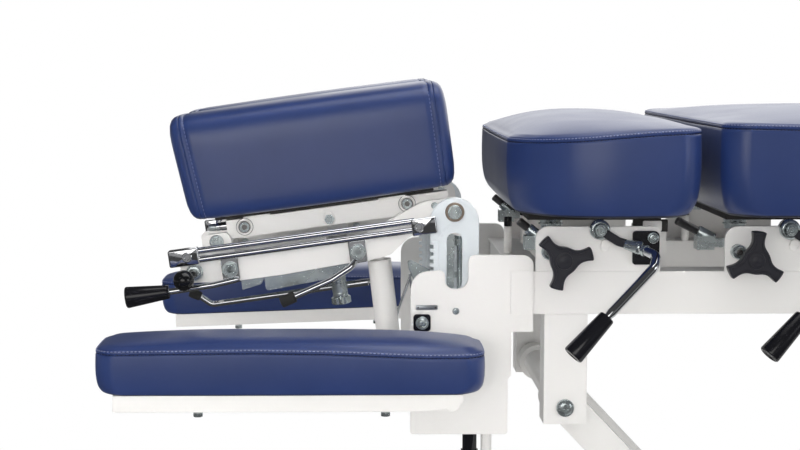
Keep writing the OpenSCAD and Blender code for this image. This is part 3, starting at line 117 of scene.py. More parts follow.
# Pressed grain of upholstery vinyl, with the slow waves of foam under it
def makeVinylGrain():
    group, given, end = newGroup("vinylGrain", {"Grain": 700.0, "Waves": 22.0}, ["Height", "Mottle"])
    place = objectPlace(group)
    cells = addNode(group, "TexVoronoi", {"Vector": place, "Scale": given["Grain"]},
                    feature="DISTANCE_TO_EDGE")
    pebble = mathNode(group, "MINIMUM", cells.outputs["Distance"], 0.22)
    waves = noiseNode(group, place, given["Waves"], 3.0)
    height = mathNode(group, "ADD", pebble, mathNode(group, "MULTIPLY", waves, 1.4))
    feed(group, end, {"Height": height, "Mottle": waves})
    return group


# Fine ripple of powder coat, and the faint unevenness of its tone
def makePowderRipple():
    group, given, end = newGroup("powderRipple", {"Ripple": 420.0, "Clouds": 7.0}, ["Height", "Tone"])
    place = objectPlace(group)
    feed(group, end, {"Height": noiseNode(group, place, given["Ripple"], 2.0),
                      "Tone": noiseNode(group, place, given["Clouds"], 4.0)})
    return group


# Handling marks: soft smudges that change the gloss
def makeHandMarks():
    group, given, end = newGroup("handMarks", {"Size": 30.0, "Low": 0.3, "High": 0.4}, ["Gloss", "Mask"])
    smudge = noiseNode(group, objectPlace(group), given["Size"], 5.0, 0.6)
    spread = addNode(group, "MapRange", {
        "Value": smudge, "From Min": 0.3, "From Max": 0.7, "To Min": given["Low"], "To Max": given["High"]})
    feed(group, end, {"Gloss": spread.outputs["Result"], "Mask": smudge})
    return group


# Drawn or turned lines on plated steel
def makeToolLines():
    group, given, end = newGroup("toolLines", {"Spacing": 900.0}, ["Height"])
    feed(group, end, {"Height": noiseNode(group, objectPlace(group, (0.06, 1, 1)), given["Spacing"], 2.0)})
    return group


handMarks = makeHandMarks()
finishKinds = {
    "vinyl": {"group": makeVinylGrain(), "scale": "Grain", "fixed": {"Waves": 20.0}, "mask": "Mottle",
              "depth": 0.0006, "marks": 9.0, "metallic": 0.0, "specular": 0.58},
    "powder": {"group": makePowderRipple(), "scale": "Ripple", "fixed": {"Clouds": 5.0}, "mask": "Tone",
               "depth": 0.0003, "marks": 12.0, "metallic": 0.0, "specular": 0.45},
    "plated": {"group": makeToolLines(), "scale": "Spacing", "fixed": {}, "mask": None,
               "depth": 0.0002, "metallic": 1.0, "specular": 0.5},
}


def makeFinish(name, kindName, dark, light, scale, gloss, bump, extra=None):
    look = {"sheen": 0.0, **finishKinds[kindName], **(extra or {})}
    material, tree, shader = newMaterial(name)
    texture = addNode(tree, "Group", {look["scale"]: scale, **look["fixed"]}, node_tree=look["group"])
    marks = addNode(tree, "Group", {"Size": look["marks"], "Low": gloss[0], "High": gloss[1]},
                    node_tree=handMarks)
    mask = texture.outputs[look["mask"]] if look["mask"] else marks.outputs["Mask"]
    colour = addNode(tree, "Mix", {"A": (*dark, 1), "B": (*light, 1), "Factor": mask}, data_type="RGBA")
    relief = addNode(tree, "Bump", {"Strength": bump, "Distance": look["depth"],
                                    "Height": texture.outputs["Height"]})
    feed(tree, shader, {
        "Metallic": look["metallic"], "Specular IOR Level": look["specular"], "Sheen Weight": look["sheen"],
        "Sheen Roughness": 0.4, "Base Color": colour.outputs["Result"], "Roughness": marks.outputs["Gloss"],
        "Normal": relief.outputs["Normal"]})
    return material


# Each row: material, kind, two colours it varies between, texture scale, roughness from and to, relief
finishRows = {
    "vinyl": ("navyVinyl", "vinyl", (0.012, 0.030, 0.120), (0.021, 0.042, 0.156), 760.0, (0.29, 0.36), 0.10,
              {"sheen": 0.03}),
    # Painted shade: a darker navy vinyl for the seam's groove, its dashes and the shadow line along the
    # bottom of each cushion
    "seam": ("navyVinylPaintedShade", "vinyl", (0.006, 0.008, 0.024), (0.012, 0.015, 0.045), 760.0, (0.5, 0.6), 0.10,
             {"sheen": 0.03}),
    # Painted highlight: the thread is the vinyl's navy, and its paler colours stand for light caught on the
    # stitches
    "thread": ("navyThreadPaintedHighlight", "vinyl", (0.12, 0.145, 0.28), (0.21, 0.24, 0.40), 2600.0, (0.42, 0.55), 0.4,
               {"sheen": 0.3}),
    "white_paint": ("warmWhitePowderCoat", "powder", (0.80, 0.785, 0.76), (0.87, 0.86, 0.84), 420.0,
                    (0.30, 0.42), 0.06),
    "plate_white": ("coolWhitePowderCoat", "powder", (0.72, 0.77, 0.80), (0.79, 0.84, 0.87), 380.0,
                    (0.24, 0.34), 0.05),
    "black_plastic": ("mouldedBlackPlastic", "powder", (0.004, 0.004, 0.006), (0.009, 0.009, 0.012), 900.0,
                      (0.14, 0.26), 0.06),
    "satinBlack": ("satinBlackPlastic", "powder", (0.014, 0.014, 0.020), (0.026, 0.026, 0.036), 900.0,
                   (0.30, 0.44), 0.12),
    "glossyBlack": ("polishedBlackPlastic", "powder", (0.004, 0.004, 0.005), (0.008, 0.008, 0.009), 300.0,
                    (0.05, 0.10), 0.01),
    "rubber": ("blackRubber", "powder", (0.016, 0.016, 0.016), (0.030, 0.030, 0.029), 600.0,
               (0.66, 0.80), 0.2),
    "board": ("blackStainedBoard", "powder", (0.018, 0.017, 0.017), (0.040, 0.037, 0.035), 160.0,
              (0.55, 0.7), 0.3),
    "zinc": ("bluedZinc", "plated", (0.50, 0.57, 0.59), (0.66, 0.71, 0.71), 700.0, (0.20, 0.32), 0.2,
             {"marks": 45.0, "metallic": 0.9}),
    "chrome": ("polishedChrome", "plated", (0.62, 0.63, 0.66), (0.80, 0.81, 0.83), 500.0, (0.05, 0.11), 0.05,
               {"marks": 60.0}),
    # Oiled steel, which also paints the shade round the tray screws and in their sockets
    "darkSteelAndShade": ("oiledSteelAndPaintedShade", "plated", (0.10, 0.10, 0.105), (0.30, 0.29, 0.28), 900.0, (0.28, 0.42), 0.2,
                  {"marks": 140.0}),
    "bronze": ("bronzeWasher", "plated", (0.26, 0.20, 0.16), (0.50, 0.42, 0.35), 900.0, (0.3, 0.42), 0.2,
               {"marks": 120.0}),
    "label": ("paleLabelMetal", "plated", (0.45, 0.48, 0.52), (0.62, 0.65, 0.69), 1200.0, (0.30, 0.40), 0.1,
              {"marks": 60.0}),
}
finishes = {name: makeFinish(*row) for name, row in finishRows.items()}
print("finishes made")

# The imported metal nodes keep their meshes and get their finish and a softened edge
edgeLook = {"white_paint": 0.0009, "plate_white": 0.0012, "zinc": 0.0005, "chrome": 0.0005,
            "black_plastic": 0.0009, "rubber": 0.0010, "board": 0.0012}
slotOfNode = {part["node"]: part["material_slot"] for part in frame["record"]["subparts"]}
for nodeName, node in frame["nodes"].items():
    slotName = slotOfNode[nodeName]
    for index in range(max(1, len(node.material_slots))):
        if len(node.material_slots) <= index:
            node.data.materials.append(finishes[slotName])
        else:
            node.material_slots[index].link = "OBJECT"
            node.material_slots[index].material = finishes[slotName]
    if slotName == "vinyl":
        continue
    weld = node.modifiers.new("joinCorners", "WELD")
    weld.merge_threshold = 0.00001
    flat = node.modifiers.new("flatFaces", "DECIMATE")
    flat.decimate_type = "DISSOLVE"
    flat.angle_limit = math.radians(1)
    soften = node.modifiers.new("softEdge", "BEVEL")
    soften.width = edgeLook[slotName]
    soften.segments = 2
    soften.limit_method = "ANGLE"
    soften.angle_limit = math.radians(40)
    soften.harden_normals = True
print("packed nodes dressed")


# Mesh tools: a shape is its points, faces and material index, and most are rings skinned in order
def skin(rings, index=0, capped=True):
    count = len(rings[0])
    points = [tuple(p) for ring in rings for p in ring]
    faces = []
    for k in range(len(rings) - 1):
        for i in range(count):
            j = (i + 1) % count
            faces.append((k * count + i, k * count + j, (k + 1) * count + j, (k + 1) * count + i))
    if capped:
        faces.append(tuple(range(count - 1, -1, -1)))
        faces.append(tuple(range(len(points) - count, len(points))))
    return points, faces, index


def moved(shapes, place):
    return [([tuple(place @ Vector(p)) for p in points], faces, index) for points, faces, index in shapes]


# A finished piece: its materials are keys of finishes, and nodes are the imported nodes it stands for
def addPiece(name, body, slotName, shapes, nodes=(), materials=None, smooth=35, fill=None):
    points, faces, indices = [], [], []
    for shapePoints, shapeFaces, index in shapes:
        offset = len(points)
        points.extend(shapePoints)
        faces.extend(tuple(i + offset for i in face) for face in shapeFaces)
        indices.extend([index] * len(shapeFaces) if isinstance(index, int) else index)
    mesh = bpy.data.meshes.new(name)
    mesh.from_pydata(points, [], faces)
    mesh.validate()
    for key in materials or [slotName]:
        mesh.materials.append(finishes[key])
    mesh.polygons.foreach_set("material_index", indices)
    mesh.polygons.foreach_set("use_smooth", [True] * len(faces))
    mesh.set_sharp_from_angle(angle=math.radians(smooth))
    mesh.update()
    piece = bpy.data.objects.new(name, mesh)
    bpy.context.scene.collection.objects.link(piece)
    if nodes:
        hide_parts(*nodes)
    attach(piece, body)


def addHeadPiece(name, body, slotName, shapes, **more):
    addPiece(name, body, slotName, moved(shapes, headTurn), **more)


def crossAxes(direction):
    direction = Vector(direction).normalized()
    helper = Vector((0, 0, 1)) if abs(direction.z) < 0.9 else Vector((1, 0, 0))
    side = direction.cross(helper).normalized()
    return direction, side, side.cross(direction).normalized()


def circle(centre, side, up, radius, steps):
    return [centre + (side * math.cos(a) + up * math.sin(a)) * radius
            for a in (2 * math.pi * i / steps for i in range(steps))]


# Turned shape: profile of (distance along, radius) from a point along a direction
def turned(start, direction, profile, steps=32, index=0):
    direction, side, up = crossAxes(direction)
    start = Vector(start)
    return skin([circle(start + direction * along, side, up, max(radius, 0.00002), steps)
                 for along, radius in profile], index)


# A bent line: straight stretches joined by arcs
def bentLine(corners, radius):
    arcSteps, spacing = 8, 0.006
    corners = [Vector(c) for c in corners]
    line = [corners[0]]
    for last, corner, following in zip(corners, corners[1:], corners[2:]):
        before = (last - corner).normalized()
        after = (following - corner).normalized()
        half = before.angle(after) / 2
        reach = min(radius / math.tan(half), 0.45 * min((corner - last).length, (following - corner).length))
        start, end = corner + before * reach, corner + after * reach
        for i in range(arcSteps + 1):
            t = i / arcSteps
            line.append(start * (1 - t) ** 2 + corner * 2 * t * (1 - t) + end * t ** 2)
    line.append(corners[-1])
    fine = [line[0]]
    for a, b in zip(line, line[1:]):
        parts = max(1, int((b - a).length / spacing))
        fine.extend(a.lerp(b, (i + 1) / parts) for i in range(parts))
    return fine


# Points of a bent line with the direction of travel, a square side and the third axis
def travel(corners, bend, side=None):
    line = bentLine(corners, bend)
    fixed = side is not None
    side = Vector(side) if fixed else crossAxes(line[1] - line[0])[1]
    for k, point in enumerate(line):
        ahead = (line[min(k + 1, len(line) - 1)] - line[max(k - 1, 0)]).normalized()
        across = (side - ahead * side.dot(ahead)).normalized()
        side = side if fixed else across
        yield point, across, ahead.cross(across), k in (0, len(line) - 1)


def tube(corners, radius, bend, steps):
    return skin([circle(point, side, up, radius * (0.8 if atEnd else 1), steps)
                 for point, side, up, atEnd in travel(corners, bend)])


# A flat bar with rounded corners, swept along corners with its flat side across
def sweptStrip(corners, wide, thick, bend, index, power):
    rings = []
    for point, side, up, _ in travel(corners, bend, farFace):
        ring = []
        for i in range(24):
            c, s = math.cos(2 * math.pi * i / 24), math.sin(2 * math.pi * i / 24)
            ring.append(point + side * math.copysign(abs(c) ** power, c) * thick / 2
                        + up * math.copysign(abs(s) ** power, s) * wide / 2)
        rings.append(ring)
    return skin(rings, index)


def smoothLoop(corners, steps):
    corners = [np.array(c, float) for c in corners]
    loop = []
    for i in range(len(corners)):
        a, b, c, d = (corners[(i + k) % len(corners)] for k in (-1, 0, 1, 2))
        for k in range(steps):
            t = k / steps
            loop.append(0.5 * (2 * b + (c - a) * t + (2 * a - 5 * b + 4 * c - d) * t ** 2
                               + (3 * b - a - 3 * c + d) * t ** 3))
    return loop


# Cushions: a drawn-in side, a seam in its groove, a top-stitched band and a crown
def measureLoop(loop):
    closed = np.vstack([loop, loop[:1]])
    steps = np.sqrt((np.diff(closed, axis=0) ** 2).sum(1))
    return closed, np.concatenate([[0], np.cumsum(steps)])


def resample(points, count):
    closed, along = measureLoop(points)
    wanted = np.linspace(0, along[-1], count, endpoint=False)
    return np.column_stack([np.interp(wanted, along, closed[:, i]) for i in range(2)])


def smoothStep(t):
    t = np.clip(t, 0, 1)
    return t * t * (3 - 2 * t)


def halfWidth(shape, x):
    t = np.clip(x / (shape["length"] * 0.6), 0, 1)
    flare = 1 - (1 - t) ** 2.6  # steep at the narrow end, and no kink where it meets the full width
    return shape["startHalf"] + (shape["fullHalf"] - shape["startHalf"]) * flare


def cushionLoop(shape, inSide, inEnd, radius):
    turn = np.linspace(0, 2 * math.pi, 2400, endpoint=False)
    c, s = np.cos(turn), np.sin(turn)
    halfLength = shape["length"] / 2
    x = halfLength + (halfLength - inEnd - radius) * np.clip(c * 4, -1, 1) + radius * c
    y = (halfWidth(shape, x) - inSide - radius) * np.clip(s * 4, -1, 1) + radius * s
    return resample(np.column_stack([x, y]), shape["points"])


def seamHeight(shape, x):
    share = x / shape["length"]
    edge = shape["edges"][0] + (shape["edges"][1] - shape["edges"][0]) * smoothStep(share)
    return edge * 0.92 + np.interp(share, *zip(*shape["lift"]))


# Rows of the side are shares of the edge's height: height, inset of the side, inset of the end
sideRows = [(0.0, 0.16, 0.30), (0.0, 0.10, 0.19), (0.0, 0.08, 0.14), (0.012, 0.060, 0.125),
            (0.03, 0.046, 0.108), (0.06, 0.033, 0.090), (0.10, 0.022, 0.070), (0.16, 0.012, 0.046),
            (0.24, 0.004, 0.026), (0.34, -0.002, 0.011), (0.46, -0.006, 0.001), (0.58, -0.0075, -0.003),
            (0.70, -0.007, -0.004), (0.80, -0.004, -0.002), (0.89, 0.0, 0.0), (0.95, 0.002, 0.002)]
# The lowest side rows of a cushion, painted in shade as a dark line along its bottom
shadedUndersideRows = 4
bandRows = [(-0.0020, 0.0002, "side"), (-0.0009, 0.0007, "side"), (-0.0003, 0.0016, "groove"),
            (0.0002, 0.0016, "groove"), (0.0008, 0.0006, "band"), (0.0021, 0.0003, "band"),
            (0.0036, 0.0012, "stitch"), (0.0050, 0.0026, "band"), (0.0060, 0.0044, "band"),
            (0.0065, 0.0060, "band")]
crownRows = [0.0090, 0.0125, 0.017, 0.023, 0.031, 0.042]
bandTop = 0.0065


def cushionRings(shape):
    corner, soft, edge = shape["corner"], shape["soft"], shape["edges"][0]
    rings, marks = [], []
    for height, side, end in sideRows:
        loop = cushionLoop(shape, side * edge, end * edge, corner + max(0, end) * edge)
        rings.append(np.column_stack([loop, seamHeight(shape, loop[:, 0]) * height]))
        marks.append("side")
    for lift, inset, mark in bandRows:
        loop = cushionLoop(shape, inset * soft, inset * soft, corner)
        rings.append(np.column_stack([loop, seamHeight(shape, loop[:, 0]) + lift * soft]))
        marks.append(mark)
    flats = [cushionLoop(shape, inset, inset, corner) for inset in crownRows
             if inset < shape["fullHalf"] * 0.6]
    last, middle = flats[-1], np.array([shape["length"] / 2, 0])
    flats += [last * (1 - k / 12) + middle * (k / 12) for k in range(1, 12)]
    power, fullness = shape["crown"]
    for flat in flats:
        x, y = flat[:, 0], flat[:, 1]
        lengthwise = np.abs(2 * x / shape["length"] - 1) / (1 - 2 * bandTop / shape["length"])
        across = np.abs(y) / (halfWidth(shape, x) - bandTop)
        rise = (np.clip(1 - lengthwise ** power, 0, 1) * np.clip(1 - across ** power, 0, 1)) ** fullness
        low = seamHeight(shape, x) + bandTop * soft
        rings.append(np.column_stack([flat, low + (shape["top"] - low) * rise]))
        marks.append("crown")
    return rings, marks


def foamWaves(rings, marks, amount, seed):
    for ring, mark in zip(rings, marks):
        if mark in ("side", "crown"):
            for p in ring:
                wave = noise.noise(Vector((p[0] * 9 + seed, p[1] * 9, p[2] * 14)))
                p[2] += amount * wave * min(1, p[2] * 60)


# Stitches along a ring: they stand off it towards the top, or straight out from its middle
def stitchRow(ring, pitch, length, radius, lift, index, straightOut=False):
    closed, along = measureLoop(ring)
    middle = ring.mean(0)
    shapes = []
    for k in range(int(along[-1] / pitch)):
        start, end = (Vector([np.interp(s % along[-1], along, closed[:, i]) for i in range(3)])
                      for s in (k * pitch, k * pitch + length))
        away = start - Vector(middle)
        if straightOut:
            off = away.normalized() * lift
        else:
            off = (Vector((away.x, away.y, 0)).normalized() * 0.5 + Vector((0, 0, 0.86))) * lift
        reach = (end - start).length
        profile = [(0, 0.35), (0.22, 0.95), (0.78, 0.95), (1, 0.35)]
        profile = [(reach * share, radius * size) for share, size in profile]
        shapes.append(turned(start + off, end - start, profile, steps=6, index=index))
    return shapes


def cushionPiece(name, shape, place, body, node):
    count, pitch = shape["points"], shape["pitch"]
    rings, marks = cushionRings(shape)
    foamWaves(rings, marks, shape["waves"], shape["seed"])
    points, faces, _ = skin(rings, capped=False)
    bottom, crown = len(points), len(points) + 1
    points.append((shape["length"] / 2, 0, 0))
    points.append((shape["length"] / 2, 0, float(rings[-1][:, 2].mean())))
    indices = []
    for k in range(len(rings) - 1):
        # Painted shade: the lowest rows, for the shadow line under the cushion, and the groove of the seam
        # take the darker vinyl
        shaded = k < shadedUndersideRows or (marks[k] == "groove" and marks[k + 1] == "groove")
        indices.extend([1 if shaded else 0] * count)
    base = (len(rings) - 1) * count
    for i in range(count):
        faces.append((bottom, (i + 1) % count, i))
        faces.append((crown, base + i, base + (i + 1) % count))
        indices.extend([0, 0])
    shapes = [(points, faces, indices)]
    # The stitches take the thread with its painted highlight
    shapes += stitchRow(rings[marks.index("stitch")], pitch, pitch * 0.6, 0.00065, 0.0003, 2)
    # Painted shade: dark dashes along the seam's groove
    shapes += stitchRow(rings[marks.index("groove")], pitch, pitch * 0.5, 0.0009, 0.0002, 1)
    addPiece(name, body, "vinyl", moved(shapes, place), nodes=[node], materials=["vinyl", "seam", "thread"],
             smooth=60, fill=0.85)


sectionCushions = {
    "thoracic": {"startHalf": 0.196, "edges": (0.088, 0.101), "seed": 1.3},
    "lumbar": {"startHalf": 0.260, "edges": (0.107, 0.098), "seed": 4.1},
    "pelvic": {"startHalf": 0.260, "edges": (0.098, 0.098), "seed": 7.7},
    "leg": {"startHalf": 0.260, "edges": (0.098, 0.098), "seed": 9.2},
}
for sectionName, look in sectionCushions.items():
    low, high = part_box(sectionName + "_cushion")
    shape = {
        **look, "length": high[0] - low[0], "fullHalf": 0.260, "top": high[2] - low[2], "corner": 0.034,
        "crown": (2.3, 0.8), "points": 420, "pitch": 0.0038, "soft": 1.0, "waves": 0.0012,
        "lift": [(0, 0), (1, 0)],
    }
    bodyName = "top_frame" if sectionName == "leg" else sectionName + "_section"
    cushionPiece(sectionName + "Cushion", shape, Matrix.Translation((low[0], 0, low[2])), bodyName,
                 sectionName + "_cushion")
print("section cushions made")

armLook = {
    "startHalf": 0.055, "fullHalf": 0.055, "edges": (0.047, 0.045), "corner": 0.027, "crown": (3.2, 0.62),
    "points": 360, "pitch": 0.0042, "soft": 0.85, "waves": 0.0008,
    "lift": [(0, 0.0), (0.15, 0.0008), (0.4, 0.0025), (0.6, 0.0015), (0.85, -0.0025), (1, -0.002)],
}
low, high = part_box("near_arm_cushion")
for side, seed, turn, y in (("near", 2.2, Matrix.Identity(4), 1), ("far", 6.4, farArmTurn, -1)):
    shape = {**armLook, "length": high[0] - low[0], "top": high[2] - low[2], "seed": seed}
    place = turn @ Matrix.Translation((low[0], y * (low[1] + high[1]) / 2, low[2]))
    cushionPiece(side + "ArmCushion", shape, place, side + "_armrest", side + "_arm_cushion")
print("armrest cushions made")

headLook = {
    "length": 0.327, "width": 0.140, "height": 0.124, "gap": 0.020, "over": 0.008, "base": 0.0303,
    "slant": 0.1, "topPower": 0.42, "basePower": 0.2, "points": 260, "seams": (0.046, 0.957),
    "stitches": (0.064, 0.938), "pitch": 0.0046, "stitchInset": 0.0012,
    "leftEnd": [(0.0, 0.052), (0.0, 0.036), (0.0015, 0.024), (0.005, 0.0145), (0.011, 0.0082),
                (0.019, 0.0042), (0.028, 0.0020), (0.037, 0.0010)],
    "rightEnd": [(0.030, 0.0020), (0.021, 0.0036), (0.012, 0.0070), (0.006, 0.0125), (0.002, 0.021),
                 (0.0, 0.034), (0.0, 0.052)],
    "seam": [(-0.003, 0.0006), (-0.0010, 0.0008), (0.0, 0.0015), (0.0010, 0.0007), (0.006, 0.0003)],
    "stitch": [(-0.003, 0.0003), (0.0, 0.0012), (0.004, 0.0004)],
}


# A ring of a head cushion at a share of its length: square below, rounder above, slanted at its left end
def headSection(share, inset):
    look = headLook
    turn = np.linspace(0, 2 * math.pi, 3000, endpoint=False)
    c, s = np.cos(turn), np.sin(turn)
    power = np.where(s < 0, look["basePower"], look["topPower"])
    y = look["width"] / 2 + (look["width"] / 2 - inset) * np.sign(c) * np.abs(c) ** power
    z = look["height"] / 2 + (look["height"] / 2 - inset) * np.sign(s) * np.abs(s) ** power
    loop = resample(np.column_stack([y, z]), look["points"])
    slant = look["slant"] * (look["height"] - loop[:, 1]) * (1 - share)
    return np.column_stack([share * look["length"] + slant, loop])


def headCushionPiece(side):
    look = headLook
    seam, stitch = look["seams"], look["stitches"]
    rows = look["leftEnd"] + [(seam[0] + step, inset) for step, inset in look["seam"]]
    rows += [(stitch[0] + step, inset) for step, inset in look["stitch"]]
    rows += [(float(m), -0.0012 * math.sin(math.pi * (m - 0.06) / 0.88))
             for m in np.linspace(stitch[0] + 0.02, stitch[1] - 0.02, 26)]
    rows += [(stitch[1] - step, inset) for step, inset in reversed(look["stitch"])]
    rows += [(seam[1] - step, inset) for step, inset in reversed(look["seam"])]
    rows += [(1 - share, inset) for share, inset in look["rightEnd"]]
    shapes = [skin([headSection(share, inset) for share, inset in rows])]
    for share in stitch:
        # The stitches take the thread with its painted highlight
        shapes += stitchRow(headSection(share, look["stitchInset"]), look["pitch"], 0.0031, 0.0005, 0.0002, 2,
                            straightOut=True)
    place = headTurn @ Matrix.Translation(
        (-look["length"] + look["over"], -look["gap"] - look["width"], look["base"]))
    if side == "far":
        place = Matrix.Scale(-1, 4, (0, 1, 0)) @ place
        shapes = [(points, [face[::-1] for face in faces], index) for points, faces, index in shapes]
    addPiece(side + "HeadCushion", side + "_head", "vinyl", moved(shapes, place),
             nodes=[side + "_head_cushion"], materials=["vinyl", "seam", "thread"], smooth=60, fill=0.9)


for side in ("near", "far"):
    headCushionPiece(side)
print("head cushions made")


# Fasteners: each row is distance along the axis, outline, its size and a round limit that chamfers it
def outlineReach(kind, size, angle):
    if kind == "hex":
        step = math.pi / 3
        return size / 2 * math.cos(step / 2) / math.cos(angle % step - step / 2)
    if kind == "cross":
        c, s = abs(math.cos(angle)) + 1e-6, abs(math.sin(angle)) + 1e-6
        arm, half = size / 2, size * 0.14
        return max(min(arm / c, half / s), min(arm / s, half / c))
    return size / 2


def fastener(at, direction, rows, index=0):
    direction, side, up = crossAxes(direction)
    rings = []
    for along, kind, size, limit in rows:
        ring = []
        for i in range(48):
            angle = 2 * math.pi * i / 48
            reach = min(outlineReach(kind, size, angle), limit / 2)
            spoke = side * math.cos(angle) + up * math.sin(angle)
            ring.append(Vector(at) + direction * along + spoke * reach)
        rings.append(ring)
    return skin(rings, index)


def hexHead(at, direction, size, height):
    dish = size * 0.52
    return fastener(at, direction, [
        (0, "hex", size, size * 0.94), (height * 0.12, "hex", size, size), (height * 0.80, "hex", size, size),
        (height, "hex", size, size * 0.86), (height, "round", dish, dish),
        (height - size * 0.04, "round", dish * 0.9, dish)])


def socketHead(at, direction, size, height, key, index=0):
    return fastener(at, direction, [
        (0, "round", size, size), (height - 0.0009, "round", size, size),
        (height - 0.0002, "round", size - 0.0008, size), (height, "round", size - 0.0018, size),
        (height, "hex", key * 1.12, size), (height - 0.0005, "hex", key, size),
        (height - key * 0.5, "hex", key * 0.97, size)], index)


def crossHead(at, direction, size, height):
    dome = [(0, 1), (0.35, 1), (0.6, 0.9), (0.85, 0.68), (1, 0.48)]
    rows = [(height * share, "round", size * width, size) for share, width in dome]
    rows += [(height * share, "cross", size * width, size) for share, width in ((1, 0.42), (0.4, 0.36))]
    return fastener(at, direction, rows)


def ringWasher(at, direction, size, hole, height, dished=False):
    rim = 0.0004
    rows = [(0, size / 2), (height - rim, size / 2), (height, size / 2 - rim)]
    if dished:
        rows += [(height, size / 2 - 3 * rim), (height * 0.45, hole / 2 + rim)]
    rows += [(height * (0.4 if dished else 1), hole / 2), (height * 0.3, hole / 2)]
    return turned(at, direction, rows, steps=40)


# Flat outline in x and z that is pushed through rows of (y, inset), for plates with worked edges
def pushedOutline(outline, rows):
    pts = np.array(outline, float)
    along = np.roll(pts, -1, 0) - np.roll(pts, 1, 0)
    along /= np.linalg.norm(along, axis=1)[:, None] + 1e-12
    area = 0.5 * np.sum(pts[:, 0] * np.roll(pts[:, 1], -1) - np.roll(pts[:, 0], -1) * pts[:, 1])
    inward = np.column_stack([-along[:, 1], along[:, 0]]) * (1 if area > 0 else -1)
    return skin([[(p[0], y, p[1]) for p in pts + inward * inset] for y, inset in rows])


def roundedRectangle(x0, z0, x1, z1, radius):
    loop = []
    for cx, cz, start in ((x1 - radius, z1 - radius, 0), (x0 + radius, z1 - radius, 90),
                          (x0 + radius, z0 + radius, 180), (x1 - radius, z0 + radius, 270)):
        for i in range(7):
            a = math.radians(start + 15 * i)
            loop.append((cx + radius * math.cos(a), cz + radius * math.sin(a)))
    return loop


# Section levers: cam ring, black arm, chrome ferrule with its bent tube, and a tapered black grip
leverLook = {
    "armPath": [(0.004, -0.002), (0.009, -0.006), (0.021, -0.0135), (0.031, -0.0165)], "armWide": 0.0102,
    "armThick": 0.0062, "armOut": 0.1845, "ferruleStart": (0.0285, -0.0165, 0.1845),
    "ferruleEnd": (0.0445, -0.0200, 0.1905), "tubeRadius": 0.0055,
    "tube": [(0.0440, -0.0200, 0.192), (0.0590, -0.0262, 0.2165), (0.0545, -0.0380, 0.2270),
             (0.0000, -0.0910, 0.2450)], "gripEnd": (-0.0400, -0.1330, 0.2550),
    "ring": [(0, 0.0104), (0.0018, 0.0106), (0.0021, 0.0112), (0.0040, 0.0112), (0.0043, 0.0117),
             (0.0088, 0.0117), (0.0104, 0.0111), (0.0113, 0.0100), (0.0117, 0.0090), (0.0117, 0.0080),
             (0.0106, 0.0072), (0.0102, 0.0060)],
    "collar": [(0, 0.0052), (0.0002, 0.0066), (0.0008, 0.0070), (0.0042, 0.0070), (0.0050, 0.0066),
               (0.0052, 0.0052)],
    "pin": [(0, "round", 0.0136, 1), (0.0036, "round", 0.0136, 1), (0.0041, "round", 0.0126, 1),
            (0.0041, "round", 0.0108, 1), (0.0030, "round", 0.0104, 1), (0.0030, "round", 0.0096, 1),
            (0.0048, "round", 0.0094, 1), (0.0054, "round", 0.0082, 1), (0.0054, "hex", 0.0056, 1),
            (0.0050, "hex", 0.0050, 1), (0.0028, "hex", 0.0048, 1)],
}


def gripShape(top, end, firstRadius, lastRadius, index):
    length = (end - top).length
    middle = (firstRadius + lastRadius) / 2 + 0.0001
    return turned(top, end - top, [
        (0, firstRadius * 0.62), (0, firstRadius * 0.90), (0.0010, firstRadius),
        (0.0035, firstRadius + 0.0003), (length * 0.5, middle), (length - 0.0024, lastRadius),
        (length - 0.0009, lastRadius - 0.0004), (length - 0.0001, lastRadius - 0.0015),
        (length, lastRadius - 0.0030), (length - 0.0008, lastRadius - 0.0045)], steps=48, index=index)


def leverPieces(name):
    look = leverLook
    cam = jointPlace[name + "_cock"]
    body = name + "_handle"

    def at(place):
        return Vector((cam.x + place[0], -place[2], cam.z + place[1]))

    ring = turned(at((0, 0, 0.1753)), nearFace, look["ring"], steps=56, index=1)
    arm = sweptStrip([at((*p, look["armOut"])) for p in look["armPath"]], look["armWide"], look["armThick"],
                     bend=0.012, index=2, power=0.45)
    start, end = at(look["ferruleStart"]), at(look["ferruleEnd"])
    reach = (end - start).length
    ferrule = turned(start, end - start, [
        (0, 0.0040), (0.0002, 0.0052), (0.0012, 0.0057), (0.0045, 0.0058), (0.0060, 0.0063),
        (reach - 0.004, 0.0072), (reach - 0.0028, 0.0079), (reach + 0.0012, 0.0079), (reach + 0.0026, 0.0072),
        (reach + 0.0032, 0.0058), (reach + 0.0030, 0.0042)], steps=40, index=1)
    corners = [at(p) for p in look["tube"]]
    bent = tube(corners, look["tubeRadius"], bend=0.011, steps=28)
    way = corners[1] - corners[0]
    collar = turned(corners[0] + way.normalized() * 0.007, way, look["collar"], steps=6, index=1)
    shapes = [ring, arm, ferrule, bent, collar]
    ownGrip = name + "_grip" in frame["nodes"]  # the hip section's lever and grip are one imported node
    grip = gripShape(corners[-1], at(look["gripEnd"]), 0.0091, 0.0121, 0 if ownGrip else 3)
    addPiece(name + "Lever", body, "chrome", shapes if ownGrip else shapes + [grip], nodes=[name + "_lever"],
             materials=["chrome", "zinc", "satinBlack", "black_plastic"])
    if ownGrip:
        addPiece(name + "Grip", body, "black_plastic", [grip], nodes=[name + "_grip"])
    pin = fastener((cam.x, -0.1874, cam.z), nearFace, look["pin"])
    addPiece(name + "CamScrew", "top_frame", "zinc", [pin])


for sectionName in sectionNames:
    leverPieces(sectionName)
print("section levers made")

